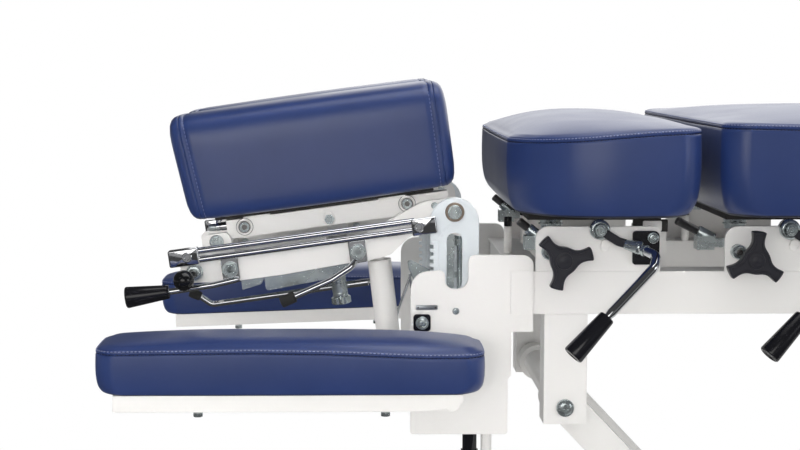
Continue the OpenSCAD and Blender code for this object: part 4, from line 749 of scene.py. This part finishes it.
# Tension knobs: three flared arms with a rim round a shallow face, and the spring pin behind
knobBack, knobFront = -0.1984, -0.2112
knobLook = {
    "turns": {"thoracic": 15, "lumbar": 85, "pelvic": 40}, "web": 0.0158, "springAt": (-0.0138, 0.0068),
    "arm": [(0.0150, 0.0086), (0.0200, 0.0068), (0.0250, 0.0066), (0.0295, 0.0073), (0.0318, 0.0076),
            (0.0330, 0.0062)],
    "rows": [(knobBack, 0.0030), (knobBack, 0.0011), (knobBack - 0.0008, 0.0003), (knobBack - 0.0018, 0),
             (knobFront + 0.0018, 0), (knobFront + 0.0009, 0.0002), (knobFront + 0.0003, 0.0007),
             (knobFront, 0.0013), (knobFront, 0.0020), (knobFront + 0.0003, 0.0025),
             (knobFront + 0.0013, 0.0029), (knobFront + 0.0014, 0.0040)],
    "hub": [(0, 0.0105), (0.0006, 0.0116), (0.0050, 0.0120), (0.0056, 0.0120)],
    "boss": [(0, 0.0098), (0.0010, 0.0094), (0.0013, 0.0086), (0.0013, 0.0074), (0.0008, 0.0068),
             (0.0008, 0.0030), (0.0012, 0.0024)],
    "spring": [(0, 0.0086), (0.0018, 0.0086), (0.0021, 0.0080), (0.0038, 0.0080), (0.0041, 0.0086),
               (0.0105, 0.0086), (0.0122, 0.0078), (0.0128, 0.0068), (0.0122, 0.0060), (0.0098, 0.0054),
               (0.0098, 0.0040)],
}


def knobOutline(centre, turnDegrees, inset):
    corners = []
    for k in range(3):
        middle = math.radians(turnDegrees + 120 * k)
        along = Vector((math.cos(middle), math.sin(middle)))
        across = Vector((-along.y, along.x))
        web = math.radians(turnDegrees + 120 * k - 60)
        corners.append(Vector((math.cos(web), math.sin(web))) * (knobLook["web"] - inset))
        arm = [(a - inset, b - inset) for a, b in knobLook["arm"]]
        corners += [along * a - across * b for a, b in arm]
        corners.append(along * (knobLook["arm"][-1][0] + 0.0005 - inset))
        corners += [along * a + across * b for a, b in reversed(arm)]
    return [(centre.x + c[0], centre.z + c[1]) for c in smoothLoop(corners, 4)]


def knobPieces(name):
    look = knobLook
    centre = jointPlace[name + "_tension_turn"]
    arms = skin([[(x, y, z) for x, z in knobOutline(centre, look["turns"][name], inset)]
                 for y, inset in look["rows"]])
    hub = turned((centre.x, -0.1930, centre.z), nearFace, look["hub"], steps=40)
    boss = turned((centre.x, knobFront + 0.0016, centre.z), nearFace, look["boss"], steps=40)
    stud = turned((centre.x, -0.1655, centre.z), nearFace, [(0, 0.0034), (0.0006, 0.0040), (0.0280, 0.0040)],
                  steps=24, index=1)
    addPiece(name + "Knob", name + "_tension", "black_plastic", [arms, hub, boss, stud],
             nodes=[name + "_knob"], materials=["satinBlack", "zinc"], smooth=38)
    place = (centre.x + look["springAt"][0], -0.1748, centre.z + look["springAt"][1])
    spring = turned(place, nearFace, look["spring"], steps=44)
    end = socketHead((place[0], place[1] - 0.0085, place[2]), nearFace, 0.0070, 0.0040, 0.0036, 1)
    addPiece(name + "SpringPin", "top_frame", "zinc", [spring, end], materials=["zinc", "darkSteelAndShade"])


for sectionName in sectionNames:
    knobPieces(sectionName)
print("tension knobs made")

# Cheek plates' fittings: stop screws, threaded tension rods with their cylinder nuts, nuts under the boards
cheekStart = {name: jointPlace[name + "_cock"].x - 0.0725 for name in sectionNames}
rodLook = {"backs": {"thoracic": (0.002, 0.018), "lumbar": (0.021, 0.053), "pelvic": (0.012, 0.036)},
           "pitch": 0.00125, "core": 0.0046, "crest": 0.0050}


def threadedBar(start, end):
    pitch, core = rodLook["pitch"], rodLook["core"]
    length = (end - start).length
    rows = [(0, core)]
    for k in range(1, int(length / pitch) - 1):
        rows += [(k * pitch, core), (k * pitch + pitch * 0.5, rodLook["crest"])]
    rows += [(length - pitch, core), (length - 0.0006, core * 0.92), (length, core * 0.78)]
    return turned(start, end - start, rows, steps=20, index=1)


def cheekFittings(name):
    start = cheekStart[name]
    back, tipBack = rodLook["backs"][name]
    shapes = []
    for sign, out in bothSides:
        x, z = start + 0.1343, beamTop + 0.0392
        shapes.append(ringWasher((x, sign * 0.1800, z), out, 0.0130, 0.008, 0.0012))
        shapes.append(socketHead((x, sign * 0.1811, z), out, 0.0104, 0.0058, 0.0052))
        shapes.append(turned((start + 0.0792, sign * 0.1748, beamTop + 0.0290), out, [
            (0, 0.0054), (0.0012, 0.0056), (0.0024, 0.0050), (0.0031, 0.0036), (0.0034, 0.0016)], index=2))
        root = Vector((start - back + 0.010, sign * 0.160, beamTop + 0.036))
        tip = Vector((start - tipBack, sign * 0.160, beamTop + 0.057))
        way = (tip - root).normalized()
        shapes.append(threadedBar(root + way * 0.020, tip + way * 0.0012))
        shapes.append(turned(root - way * 0.001, way, [
            (0, 0.0060), (0.0010, 0.0068), (0.0195, 0.0068), (0.0208, 0.0060), (0.0208, 0.0047)], steps=36))
    addPiece(name + "CheekFittings", "top_frame", "zinc", shapes,
             materials=["zinc", "darkSteelAndShade", "white_paint"])


def boardFittings(name):
    pivot = jointPlace[name + "_drop"]
    zinc, white = [], []
    for sign, out in bothSides:
        for inward in (0.018, 0.030):
            top = Vector((cheekStart[name] + inward, sign * 0.118, beamTop + 0.0568))
            down = Vector((0, 0, -1))
            zinc.append(hexHead(top, down, 0.0150, 0.0062))
            zinc.append(ringWasher(top + down * 0.0064, down, 0.0170, 0.009, 0.0014))
            zinc.append(hexHead(top + down * 0.0080, down, 0.0130, 0.0050))
        cover = roundedRectangle(pivot.x - 0.0095, beamTop + 0.044, pivot.x + 0.0125, beamTop + 0.056,
                                 0.0015)
        white.append(pushedOutline(cover, [(sign * 0.1502, 0.0004), (sign * 0.1504, 0), (sign * 0.1518, 0),
                                           (sign * 0.1521, 0.0005)]))
        zinc.append(socketHead((pivot.x, sign * 0.154, pivot.z), out, 0.0105, 0.0030, 0.0050))
    addPiece(name + "BoardNuts", name + "_section", "zinc", zinc)
    addPiece(name + "HingeCovers", name + "_section", "white_paint", white)


for sectionName in sectionNames:
    cheekFittings(sectionName)
    boardFittings(sectionName)
print("cheek fittings made")

# Frame screws: cross-recessed pivot screws, gauge screw, lock plate screw, bare label plate, slot nut
frameLook = {"legPitch": 0.850, "mastFace": 0.1810, "gaugeZ": 0.56715, "lock": (-0.5990, 0.55416),
             "label": (-0.6060, 0.5690, -0.5810, 0.5745, 0.0012)}


def frameFittings():
    shapes, label = [], []
    level = jointPlace["top_level"]
    mast = frameLook["mastFace"]
    for sign, out in bothSides:
        def at(x, reach, z):
            return Vector((x, sign * reach, z))

        for x in (level.x, level.x + frameLook["legPitch"]):
            shapes.append(crossHead(at(x, 0.1749, level.z), out, 0.0206, 0.0056))
        gaugeZ = frameLook["gaugeZ"]
        shapes.append(ringWasher(at(tiltBolt.x, mast - 0.0001, gaugeZ), out, 0.0082, 0.004, 0.0009))
        shapes.append(socketHead(at(tiltBolt.x, mast + 0.0004, gaugeZ), out, 0.0060, 0.0022, 0.0030))
        lockX, lockZ = frameLook["lock"]
        shapes.append(ringWasher(at(lockX, mast + 0.0029, lockZ), out, 0.0148, 0.008, 0.0016))
        shapes.append(crossHead(at(lockX, mast + 0.0040, lockZ), out, 0.0124, 0.0048))
        label.append(pushedOutline(roundedRectangle(*frameLook["label"]), [
            (sign * mast, 0), (sign * (mast + 0.0005), 0), (sign * (mast + 0.0007), 0.0003)]))
        for x in (-0.6035, -0.5835):
            label.append(turned(at(x, mast + 0.0006, 0.57175), out, [
                (0, 0.0011), (0.0005, 0.0009), (0.0007, 0.0004)], steps=16, index=1))
        spindle = at(tiltBolt.x + 0.008, 0.124, 0.6448)
        shapes.append(hexHead(spindle, (0, 0, 1), 0.0178, 0.0066))
        shapes.append(turned(spindle + Vector((0, 0, -0.0085)), (0, 0, 1), [
            (0, 0.0042), (0.0005, 0.0052), (0.0085, 0.0052)], steps=24))
    addPiece("frameScrews", "top_frame", "zinc", shapes)
    addPiece("bareLabelPlate", "top_frame", "zinc", label, materials=["label", "darkSteelAndShade"])


def elevatorFittings():
    x, z = tiltBolt.x, tiltBolt.z
    zinc, bronze, backing = [], [], []
    for sign, out in bothSides:
        bronze.append(ringWasher((x, sign * 0.1519, z), out, 0.0224, 0.012, 0.0020))
        zinc.append(ringWasher((x, sign * 0.1536, z), out, 0.0168, 0.010, 0.0009))
        zinc.append(hexHead((x, sign * 0.1540, z), out, 0.0153, 0.0082))
        zinc.append(hexHead((x - 0.0052, sign * 0.1364, z - 0.0832), out, 0.0095, 0.0040))
        sheet = roundedRectangle(x - 0.0145, z - 0.0990, x + 0.0010, z - 0.0240, 0.0010)
        backing.append(pushedOutline(sheet, [(sign * 0.1364, 0), (sign * 0.1344, 0)]))
    gusset = [(-0.6125, 0.6125), (-0.6090, 0.6150), (-0.5780, 0.5990), (-0.5760, 0.5860), (-0.6000, 0.5790),
              (-0.6110, 0.6040)]
    gusset = pushedOutline(gusset, [(-0.0858, 0.0006), (-0.0853, 0), (-0.0835, 0), (-0.0830, 0.0006)])
    wires = [
        (-0.0820, 0.0016, [(-0.6060, 0.6020), (-0.6090, 0.5940), (-0.6232, 0.5540), (-0.6245, 0.5460)]),
        (-0.0864, 0.0014, [(-0.6100, 0.5980), (-0.6080, 0.5840), (-0.6040, 0.5620), (-0.6045, 0.5540)])]
    wires = [tube([(a, y, b) for a, b in path], radius, bend=0.004, steps=14) for y, radius, path in wires]
    addPiece("tiltBolts", "elevator", "zinc", zinc)
    addPiece("tiltWashers", "elevator", "zinc", bronze, materials=["bronze"])
    addPiece("slotBacking", "elevator", "zinc", backing)
    addPiece("strutGusset", "elevator", "zinc", [gusset])
    addPiece("strutSpringWires", "elevator", "chrome", wires, smooth=50)


frameFittings()
elevatorFittings()
print("frame and elevator fittings made")

# Head piece, in its own axes: along the frame from the tilt bolt, across, and square to it
headRigLook = {
    "armFace": 0.143, "railOut": 0.166, "railMiddle": -0.0075, "railStep": 0.005, "railRadius": 0.00385,
    "leftBlock": (-0.334, -0.300), "farLeftBlock": (-0.3215, -0.300), "rightBlock": (-0.052, -0.024),
    "blockHalf": 0.0098, "rightDrop": 0.002, "camPlaces": [(-0.268, -0.031), (-0.118, -0.031)],
    "traySide": 0.125, "trayScrews": [(-0.246, 0.014), (-0.053, 0.015)], "lockNut": (-0.146, 0.0095),
    "earBolt": (-0.2795, 0.0025), "plunger": (-0.310, -0.029), "ball": (-0.319, -0.032), "ballOut": 0.185,
    "leverOut": 0.1496,
    "blockBoss": [(0, 0.0060), (0.0012, 0.0060), (0.0018, 0.0052), (0.0018, 0.0034), (0.0009, 0.0030)],
    "bearing": [(0, 0.0096), (0.0008, 0.0100), (0.0022, 0.0100), (0.0026, 0.0094), (0.0100, 0.0094),
                (0.0116, 0.0088), (0.0122, 0.0076), (0.0122, 0.0050), (0.0112, 0.0045)],
}


def endBlock(start, end, middle, nearY, farY):
    half = headRigLook["blockHalf"]
    edge = roundedRectangle(start - 0.0004, middle - half, end + 0.0004, middle + half, 0.0022)
    return pushedOutline(edge, [(nearY, 0.0015), (nearY + 0.0004, 0.0007), (nearY + 0.0013, 0),
                                (farY - 0.0008, 0), (farY, 0.0010)])


def headRig():
    look = headRigLook
    chrome, bolts, trayScrews, white = [], [], [], []
    arm, tray, rail = look["armFace"], look["traySide"], look["railOut"]
    for sign, out in bothSides:
        def at(place, reach):
            return (place[0], sign * reach, place[1])

        for step in (-look["railStep"], look["railStep"]):
            start = at((look["leftBlock"][1] - 0.004, look["railMiddle"] + step), rail)
            chrome.append(turned(start, (1, 0, 0), [(0, look["railRadius"]), (0.256, look["railRadius"])],
                                 steps=36))
        nearY, farY = sorted((sign * (rail + 0.0064), sign * (rail - 0.0064)))
        left = look["leftBlock"] if sign < 0 else look["farLeftBlock"]
        for (start, end), drop, shift in ((left, 0, 0.004), (look["rightBlock"], look["rightDrop"], -0.006)):
            middle = look["railMiddle"] - drop
            chrome.append(endBlock(start, end, middle, nearY, farY))
            chrome.append(turned(at(((start + end) / 2 + shift, middle), 0.1720), out, look["blockBoss"]))
        for place in look["camPlaces"]:
            bolts.append(ringWasher(at(place, 0.1469), out, 0.0188, 0.010, 0.0016))
            bolts.append(hexHead(at(place, 0.1480), out, 0.0150, 0.0066))
        for place in look["trayScrews"]:
            white.append(ringWasher(at(place, tray), out, 0.0190, 0.0115, 0.0024, dished=True))
            # Painted shade in the dark steel colour: a disc under the washer for the shadow round its rim, a
            # ring for the shade under the screw head, and a flat hex for the shade in the screw's socket
            discs = [(-0.0001, [(0, 0.0102), (0.0006, 0.0102), (0.0009, 0.0096)], 1),
                     (0.0035, [(0, 0.0070), (0.0004, 0.0070)], 1),
                     (0.0036, [(0, 0.0059), (0.0012, 0.0059), (0.0015, 0.0055), (0.0015, 0.0040)], 0)]
            trayScrews += [turned(at(place, tray + reach), out, profile, steps=40, index=index)
                           for reach, profile, index in discs]
            trayScrews.append(fastener(at(place, tray + 0.0046), out, [
                (0, "hex", 0.0068, 0.0076), (0.0006, "hex", 0.0068, 0.0076)], 1))
        white.append(ringWasher(at(look["lockNut"], tray), out, 0.0155, 0.010, 0.0012))
        trayScrews.append(hexHead(at(look["lockNut"], tray + 0.0005), out, 0.0125, 0.0062))
        bolts.append(ringWasher(at(look["earBolt"], arm - 0.0001), out, 0.0165, 0.009, 0.0014))
        bolts.append(hexHead(at(look["earBolt"], arm + 0.0012), out, 0.0128, 0.0052))
    bearingAt = (look["plunger"][0], -arm - 0.0001, look["plunger"][1])
    bolts.append(turned(bearingAt, nearFace, look["bearing"], steps=44))
    addHeadPiece("guideRails", "head_frame", "chrome", chrome, nodes=["chrome_rails"])
    addHeadPiece("trayScrews", "head_tray", "zinc", trayScrews, materials=["zinc", "darkSteelAndShade"])
    addHeadPiece("headFrameBolts", "head_frame", "zinc", bolts)
    addHeadPiece("trayWashers", "head_tray", "white_paint", white)


def trayFittings():
    zinc, chrome = [], []
    for sign, _ in bothSides:
        y = sign * 0.114
        chrome.append(turned((-0.2800, y, 0.0172), (1, 0, 0), [
            (0, 0.0036), (0.0003, 0.0047), (0.0040, 0.0050), (0.0046, 0.0042), (0.0054, 0.0042),
            (0.0060, 0.0050), (0.0150, 0.0050)], steps=28))
        zinc.append(turned((-0.2890, y, 0.0172), (1, 0, 0), [
            (0, 0.0026), (0.0008, 0.0038), (0.0050, 0.0046), (0.0078, 0.0046), (0.0084, 0.0040),
            (0.0092, 0.0040)], steps=28))
        strip = roundedRectangle(-0.2830, 0.0060, -0.2660, 0.0092, 0.0008)
        zinc.append(pushedOutline(strip, [(y - 0.006, 0), (y + 0.006, 0)]))
    addHeadPiece("trayHingePins", "head_tray", "chrome", chrome)
    addHeadPiece("trayHingeCaps", "head_tray", "zinc", zinc)


def camSquare(place):
    edge = roundedRectangle(place[0] - 0.010, place[1] - 0.013, place[0] + 0.010, place[1] + 0.013, 0.0016)
    return pushedOutline(edge, [(-0.1433, 0.0004), (-0.1436, 0), (-0.1464, 0), (-0.1470, 0.0007)])


def headLevers():
    look = headRigLook
    out = look["leverOut"]
    first, second = look["camPlaces"]
    rod = tube([(first[0] + 0.009, -out + 0.0020, first[1] - 0.0125), (-0.2900, -out, -0.0462),
                (-0.3355, -out, -0.0470), (-0.3520, -out, -0.0470)], 0.0037, bend=0.02, steps=24)
    addHeadPiece("headLever", "head_handle", "chrome", [camSquare(first), rod], nodes=["head_lever"])
    grip = gripShape(Vector((-0.342, -out, -0.047)), Vector((-0.393, -out, -0.047)), 0.0080, 0.0125, 0)
    addHeadPiece("headGrip", "head_handle", "black_plastic", [grip], nodes=["head_grip"])
    shortRod = tube([(second[0] - 0.0040, -out + 0.0020, second[1] - 0.0100), (-0.1285, -out, -0.0478),
                     (-0.1518, -out, -0.0590), (-0.2030, -out, -0.0742)], 0.0038, bend=0.014, steps=24)
    cap = turned((-0.1975, -out, -0.0726), (-0.0512, 0, -0.0152), [
        (0, 0.0040), (0.0002, 0.0060), (0.0010, 0.0066), (0.0165, 0.0068), (0.0178, 0.0062),
        (0.0182, 0.0050)], steps=36, index=1)
    addHeadPiece("shortLever", "small_lever", "chrome", [camSquare(second), shortRod, cap],
                 nodes=["short_lever"], materials=["chrome", "rubber"])
    face = look["armFace"]
    bolt, ball, ballOut = look["plunger"], look["ball"], look["ballOut"]
    shaft = tube([(bolt[0], -face, bolt[1]), (bolt[0], -face - 0.022, bolt[1]), (ball[0], -ballOut, ball[1])],
                 0.0040, bend=0.008, steps=24)
    radius = 0.0120
    profile = [(-radius * math.cos(a), radius * math.sin(a)) for a in np.linspace(0.38, math.pi, 30)]
    knob = turned((ball[0], -ballOut, ball[1]), nearFace, profile, steps=48)
    addHeadPiece("ballPlunger", "ball_plunger", "black_plastic", [shaft, knob], nodes=["ball_knob"],
                 materials=["glossyBlack"], smooth=60)


def releaseBail():
    y = -0.036
    eye = turned((-0.097, y + 0.005, -0.083), nearFace, [
        (0, 0.0040), (0, 0.0078), (0.0007, 0.0085), (0.0093, 0.0085), (0.0100, 0.0078), (0.0100, 0.0040)],
        steps=40)
    wire = tube([(-0.104, y, -0.083), (-0.200, y, -0.0840), (-0.307, y, -0.0845), (-0.3225, y, -0.0705)],
                0.0037, bend=0.011, steps=24)
    sleeve = turned((-0.152, y, -0.0835), (1, 0, 0), [
        (0, 0.0038), (0.0006, 0.0044), (0.0400, 0.0044), (0.0406, 0.0038)], steps=28)
    cap = turned((-0.3190, y, -0.0733), (-0.0100, 0, 0.0065), [
        (0, 0.0034), (0.0002, 0.0048), (0.0012, 0.0056), (0.0110, 0.0064), (0.0142, 0.0058),
        (0.0152, 0.0040)], steps=36, index=1)
    addHeadPiece("releaseBail", "release_bail", "chrome", [eye, wire, sleeve, cap], nodes=["bail_lever"],
                 materials=["chrome", "rubber"], smooth=40)


def dropCylinder():
    x, y, z = -0.147, -0.062, -0.047
    down = (0, 0, -1)
    body = turned((x, y, z), down, [
        (0, 0.0092), (0.0400, 0.0092), (0.0404, 0.0086), (0.0412, 0.0086), (0.0416, 0.0092), (0.0458, 0.0092),
        (0.0462, 0.0080)], steps=44)
    nut = hexHead((x, y, z - 0.0458), down, 0.0243, 0.0086)
    lip = ringWasher((x, y, z + 0.0001), down, 0.0250, 0.018, 0.0022)
    addHeadPiece("dropCylinder", "head_frame", "zinc", [body, nut, lip])


def armTrayScrews():
    low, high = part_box("near_arm_tray")
    shapes = [hexHead((x, y, low[2]), (0, 0, -1), 0.0110, 0.0042)
              for x in (low[0] + 0.088, high[0] - 0.0815) for y in (low[1] + 0.014, high[1] - 0.014)]
    addPiece("nearArmTrayScrews", "near_armrest", "zinc", shapes)
    across = Matrix.Translation((0, -(low[1] + high[1]), 0))
    addPiece("farArmTrayScrews", "far_armrest", "zinc", moved(shapes, farArmTurn @ across))


headRig()
trayFittings()
headLevers()
releaseBail()
dropCylinder()
armTrayScrews()
print("head piece and armrest fittings made")

# Camera: it stands level with the head piece and looks across the table
cameraLook = {"place": (-0.6815, -2.0, 0.857), "down": 5.9587, "right": 0.8952, "lens": 72, "shift": 0.03125}
cameraData = bpy.data.cameras.new("photographCamera")
cameraData.lens = cameraLook["lens"]
cameraData.sensor_width = 36
cameraData.shift_x = cameraLook["shift"]
cameraData.clip_end = 60
camera = bpy.data.objects.new("photographCamera", cameraData)
camera.location = cameraLook["place"]
camera.rotation_euler = (math.radians(90 - cameraLook["down"]), 0, math.radians(-cameraLook["right"]))
bpy.context.scene.collection.objects.link(camera)
bpy.context.scene.camera = camera

# Studio: a pale floor that keeps the shadow, four soft lamps and a white surround
studioLook = {
    "floorRadius": 30.0, "floorGrey": 0.80, "fadeFrom": 0.95, "fadeTo": 1.40, "squeeze": 0.72, "world": 0.72,
    "wall": {"dark": 0.06, "pale": 0.30, "from": 108, "to": 345, "inner": 0.45, "radius": 4.6, "low": 0.03,
             "strip": 0.62, "high": 4.4, "roofInner": 0.6, "lowFrom": 55, "lowHigh": 0.80},
    "behind": {"from": (-0.9, 5.0, 0.9), "to": (7.0, 5.0, 3.4), "level": 1.7},
    # Each lamp: place, target, size, power, tint, spread
    "lamps": {
        "broadFrontLamp": ((-1.2, -3.4, 1.25), (-0.4, 0, 0.6), (2.4, 1.2), 20, (1.0, 0.985, 0.96), 180),
        "highTopLamp": ((0.2, -0.4, 3.2), (0, 0, 0.5), (3.0, 2.0), 40, (1.0, 1.0, 1.0), 180),
        "lowSideLamp": ((2.6, -2.4, 1.3), (0, 0, 0.5), (1.4, 1.4), 13, (0.96, 0.98, 1.0), 180),
        "headPieceLamp": ((-1.6, -4.6, 1.3), (-0.80, 0, 0.68), (0.9, 0.6), 0.66, (1.0, 0.99, 0.97), 15),
    },
}


def raySeesBackground(tree):
    path = addNode(tree, "LightPath", {}).outputs
    seen = mathNode(tree, "MAXIMUM", path["Is Camera Ray"], path["Is Glossy Ray"])
    return mathNode(tree, "MAXIMUM", seen, path["Is Transmission Ray"])


def stageMesh(name, points, faces, materials, indices):
    mesh = bpy.data.meshes.new(name)
    mesh.from_pydata(points, [], faces)
    for material in materials:
        mesh.materials.append(material)
    mesh.polygons.foreach_set("material_index", indices)
    piece = bpy.data.objects.new(name, mesh)
    bpy.context.scene.collection.objects.link(piece)
    return piece


def makeFloor():
    look = studioLook
    material, tree, shader = newMaterial("paleFloor")
    feed(tree, shader, {"Base Color": (*[look["floorGrey"]] * 3, 1), "Roughness": 0.8,
                        "Specular IOR Level": 0.2})
    squeezed = objectPlace(tree, (look["squeeze"], 1, 1))  # the lit patch is longer than it is wide
    length = addNode(tree, "VectorMath", {0: squeezed}, operation="LENGTH").outputs["Value"]
    fade = {"From Min": look["fadeFrom"], "From Max": look["fadeTo"], "Value": length}
    fade = addNode(tree, "MapRange", fade, interpolation_type="SMOOTHSTEP").outputs["Result"]
    share = mathNode(tree, "MULTIPLY", fade, raySeesBackground(tree))
    white = addNode(tree, "Emission", {}).outputs["Emission"]
    mix = addNode(tree, "MixShader", {"Fac": share, 1: shader.outputs["BSDF"], 2: white})
    feed(tree, tree.nodes["Material Output"], {"Surface": mix.outputs["Shader"]})
    ring = circle(Vector((0, 0, -0.0005)), Vector((1, 0, 0)), Vector((0, 1, 0)), look["floorRadius"], 64)
    stageMesh("studioFloor", ring, [tuple(range(64))], [material], [0])


# Studio walls that only reflections see, glowing sheets that paint reflections: a dark shell with a pale low
# strip, and a bright sheet behind
def reflectionSheet(name, points, faces, glows, indices):
    materials = []
    for glowName, level in glows.items():
        material, tree, _ = newMaterial(glowName)
        glow = addNode(tree, "Emission", {"Color": (1, 1, 1, 1), "Strength": level})
        feed(tree, tree.nodes["Material Output"], {"Surface": glow.outputs["Emission"]})
        materials.append(material)
    sheet = stageMesh(name, points, faces, materials, indices)
    sheet.visible_camera = False
    sheet.visible_diffuse = False
    sheet.visible_transmission = False
    sheet.visible_shadow = False


def roundWall(rows, start, end, count):
    turns = [math.radians(a) for a in np.linspace(start, end, count)]
    points = [(radius * math.cos(a), radius * math.sin(a), z) for radius, z in rows for a in turns]
    faces = [(k * count + i, k * count + i + 1, (k + 1) * count + i + 1, (k + 1) * count + i)
             for k in range(len(rows) - 1) for i in range(count - 1)]
    return points, faces


def makeReflectionWalls():
    look = studioLook["wall"]
    radius, low, high = look["radius"], look["low"], look["high"]
    points, faces = roundWall([(look["inner"], low), (radius, low), (radius, look["strip"]), (radius, high),
                               (look["roofInner"], high)], look["from"], look["to"], 31)
    reflectionSheet("darkStudioShell", points, faces, {"darkShell": look["dark"], "paleStrip": look["pale"]},
                    [1 if 30 <= k < 60 else 0 for k in range(len(faces))])
    points, faces = roundWall([(radius, low), (radius, look["lowHigh"])], look["lowFrom"], look["from"], 9)
    reflectionSheet("darkLowWallBehind", points, faces, {"darkLowWall": look["dark"]}, [0] * len(faces))
    behind = studioLook["behind"]
    (x0, y0, z0), (x1, y1, z1) = behind["from"], behind["to"]
    reflectionSheet("brightSheetBehind", [(x0, y0, z0), (x1, y0, z0), (x1, y1, z1), (x0, y1, z1)],
                    [(0, 1, 2, 3)], {"brightSheet": behind["level"]}, [0])


def makeLamp(name, place, target, size, power, tint, spread):
    data = bpy.data.lights.new(name, "AREA")
    data.shape = "RECTANGLE"
    data.size, data.size_y = size
    data.energy = power
    data.color = tint
    data.spread = math.radians(spread)
    lamp = bpy.data.objects.new(name, data)
    lamp.location = place
    lamp.rotation_euler = (Vector(target) - Vector(place)).to_track_quat("-Z", "Y").to_euler()
    bpy.context.scene.collection.objects.link(lamp)


def makeWorld():
    world = bpy.data.worlds.new("whiteSurround")
    bpy.context.scene.world = world
    world.use_nodes = True
    tree = world.node_tree
    level = addNode(tree, "MapRange", {"To Min": studioLook["world"], "To Max": 1.0,
                                       "Value": raySeesBackground(tree)})
    feed(tree, tree.nodes["Background"], {"Color": (1, 1, 1, 1), "Strength": level.outputs["Result"]})


makeFloor()
makeReflectionWalls()
makeWorld()
for lampName, lampRow in studioLook["lamps"].items():
    makeLamp(lampName, *lampRow)
print("camera and studio made")

scene = bpy.context.scene
scene.view_settings.view_transform = "Standard"
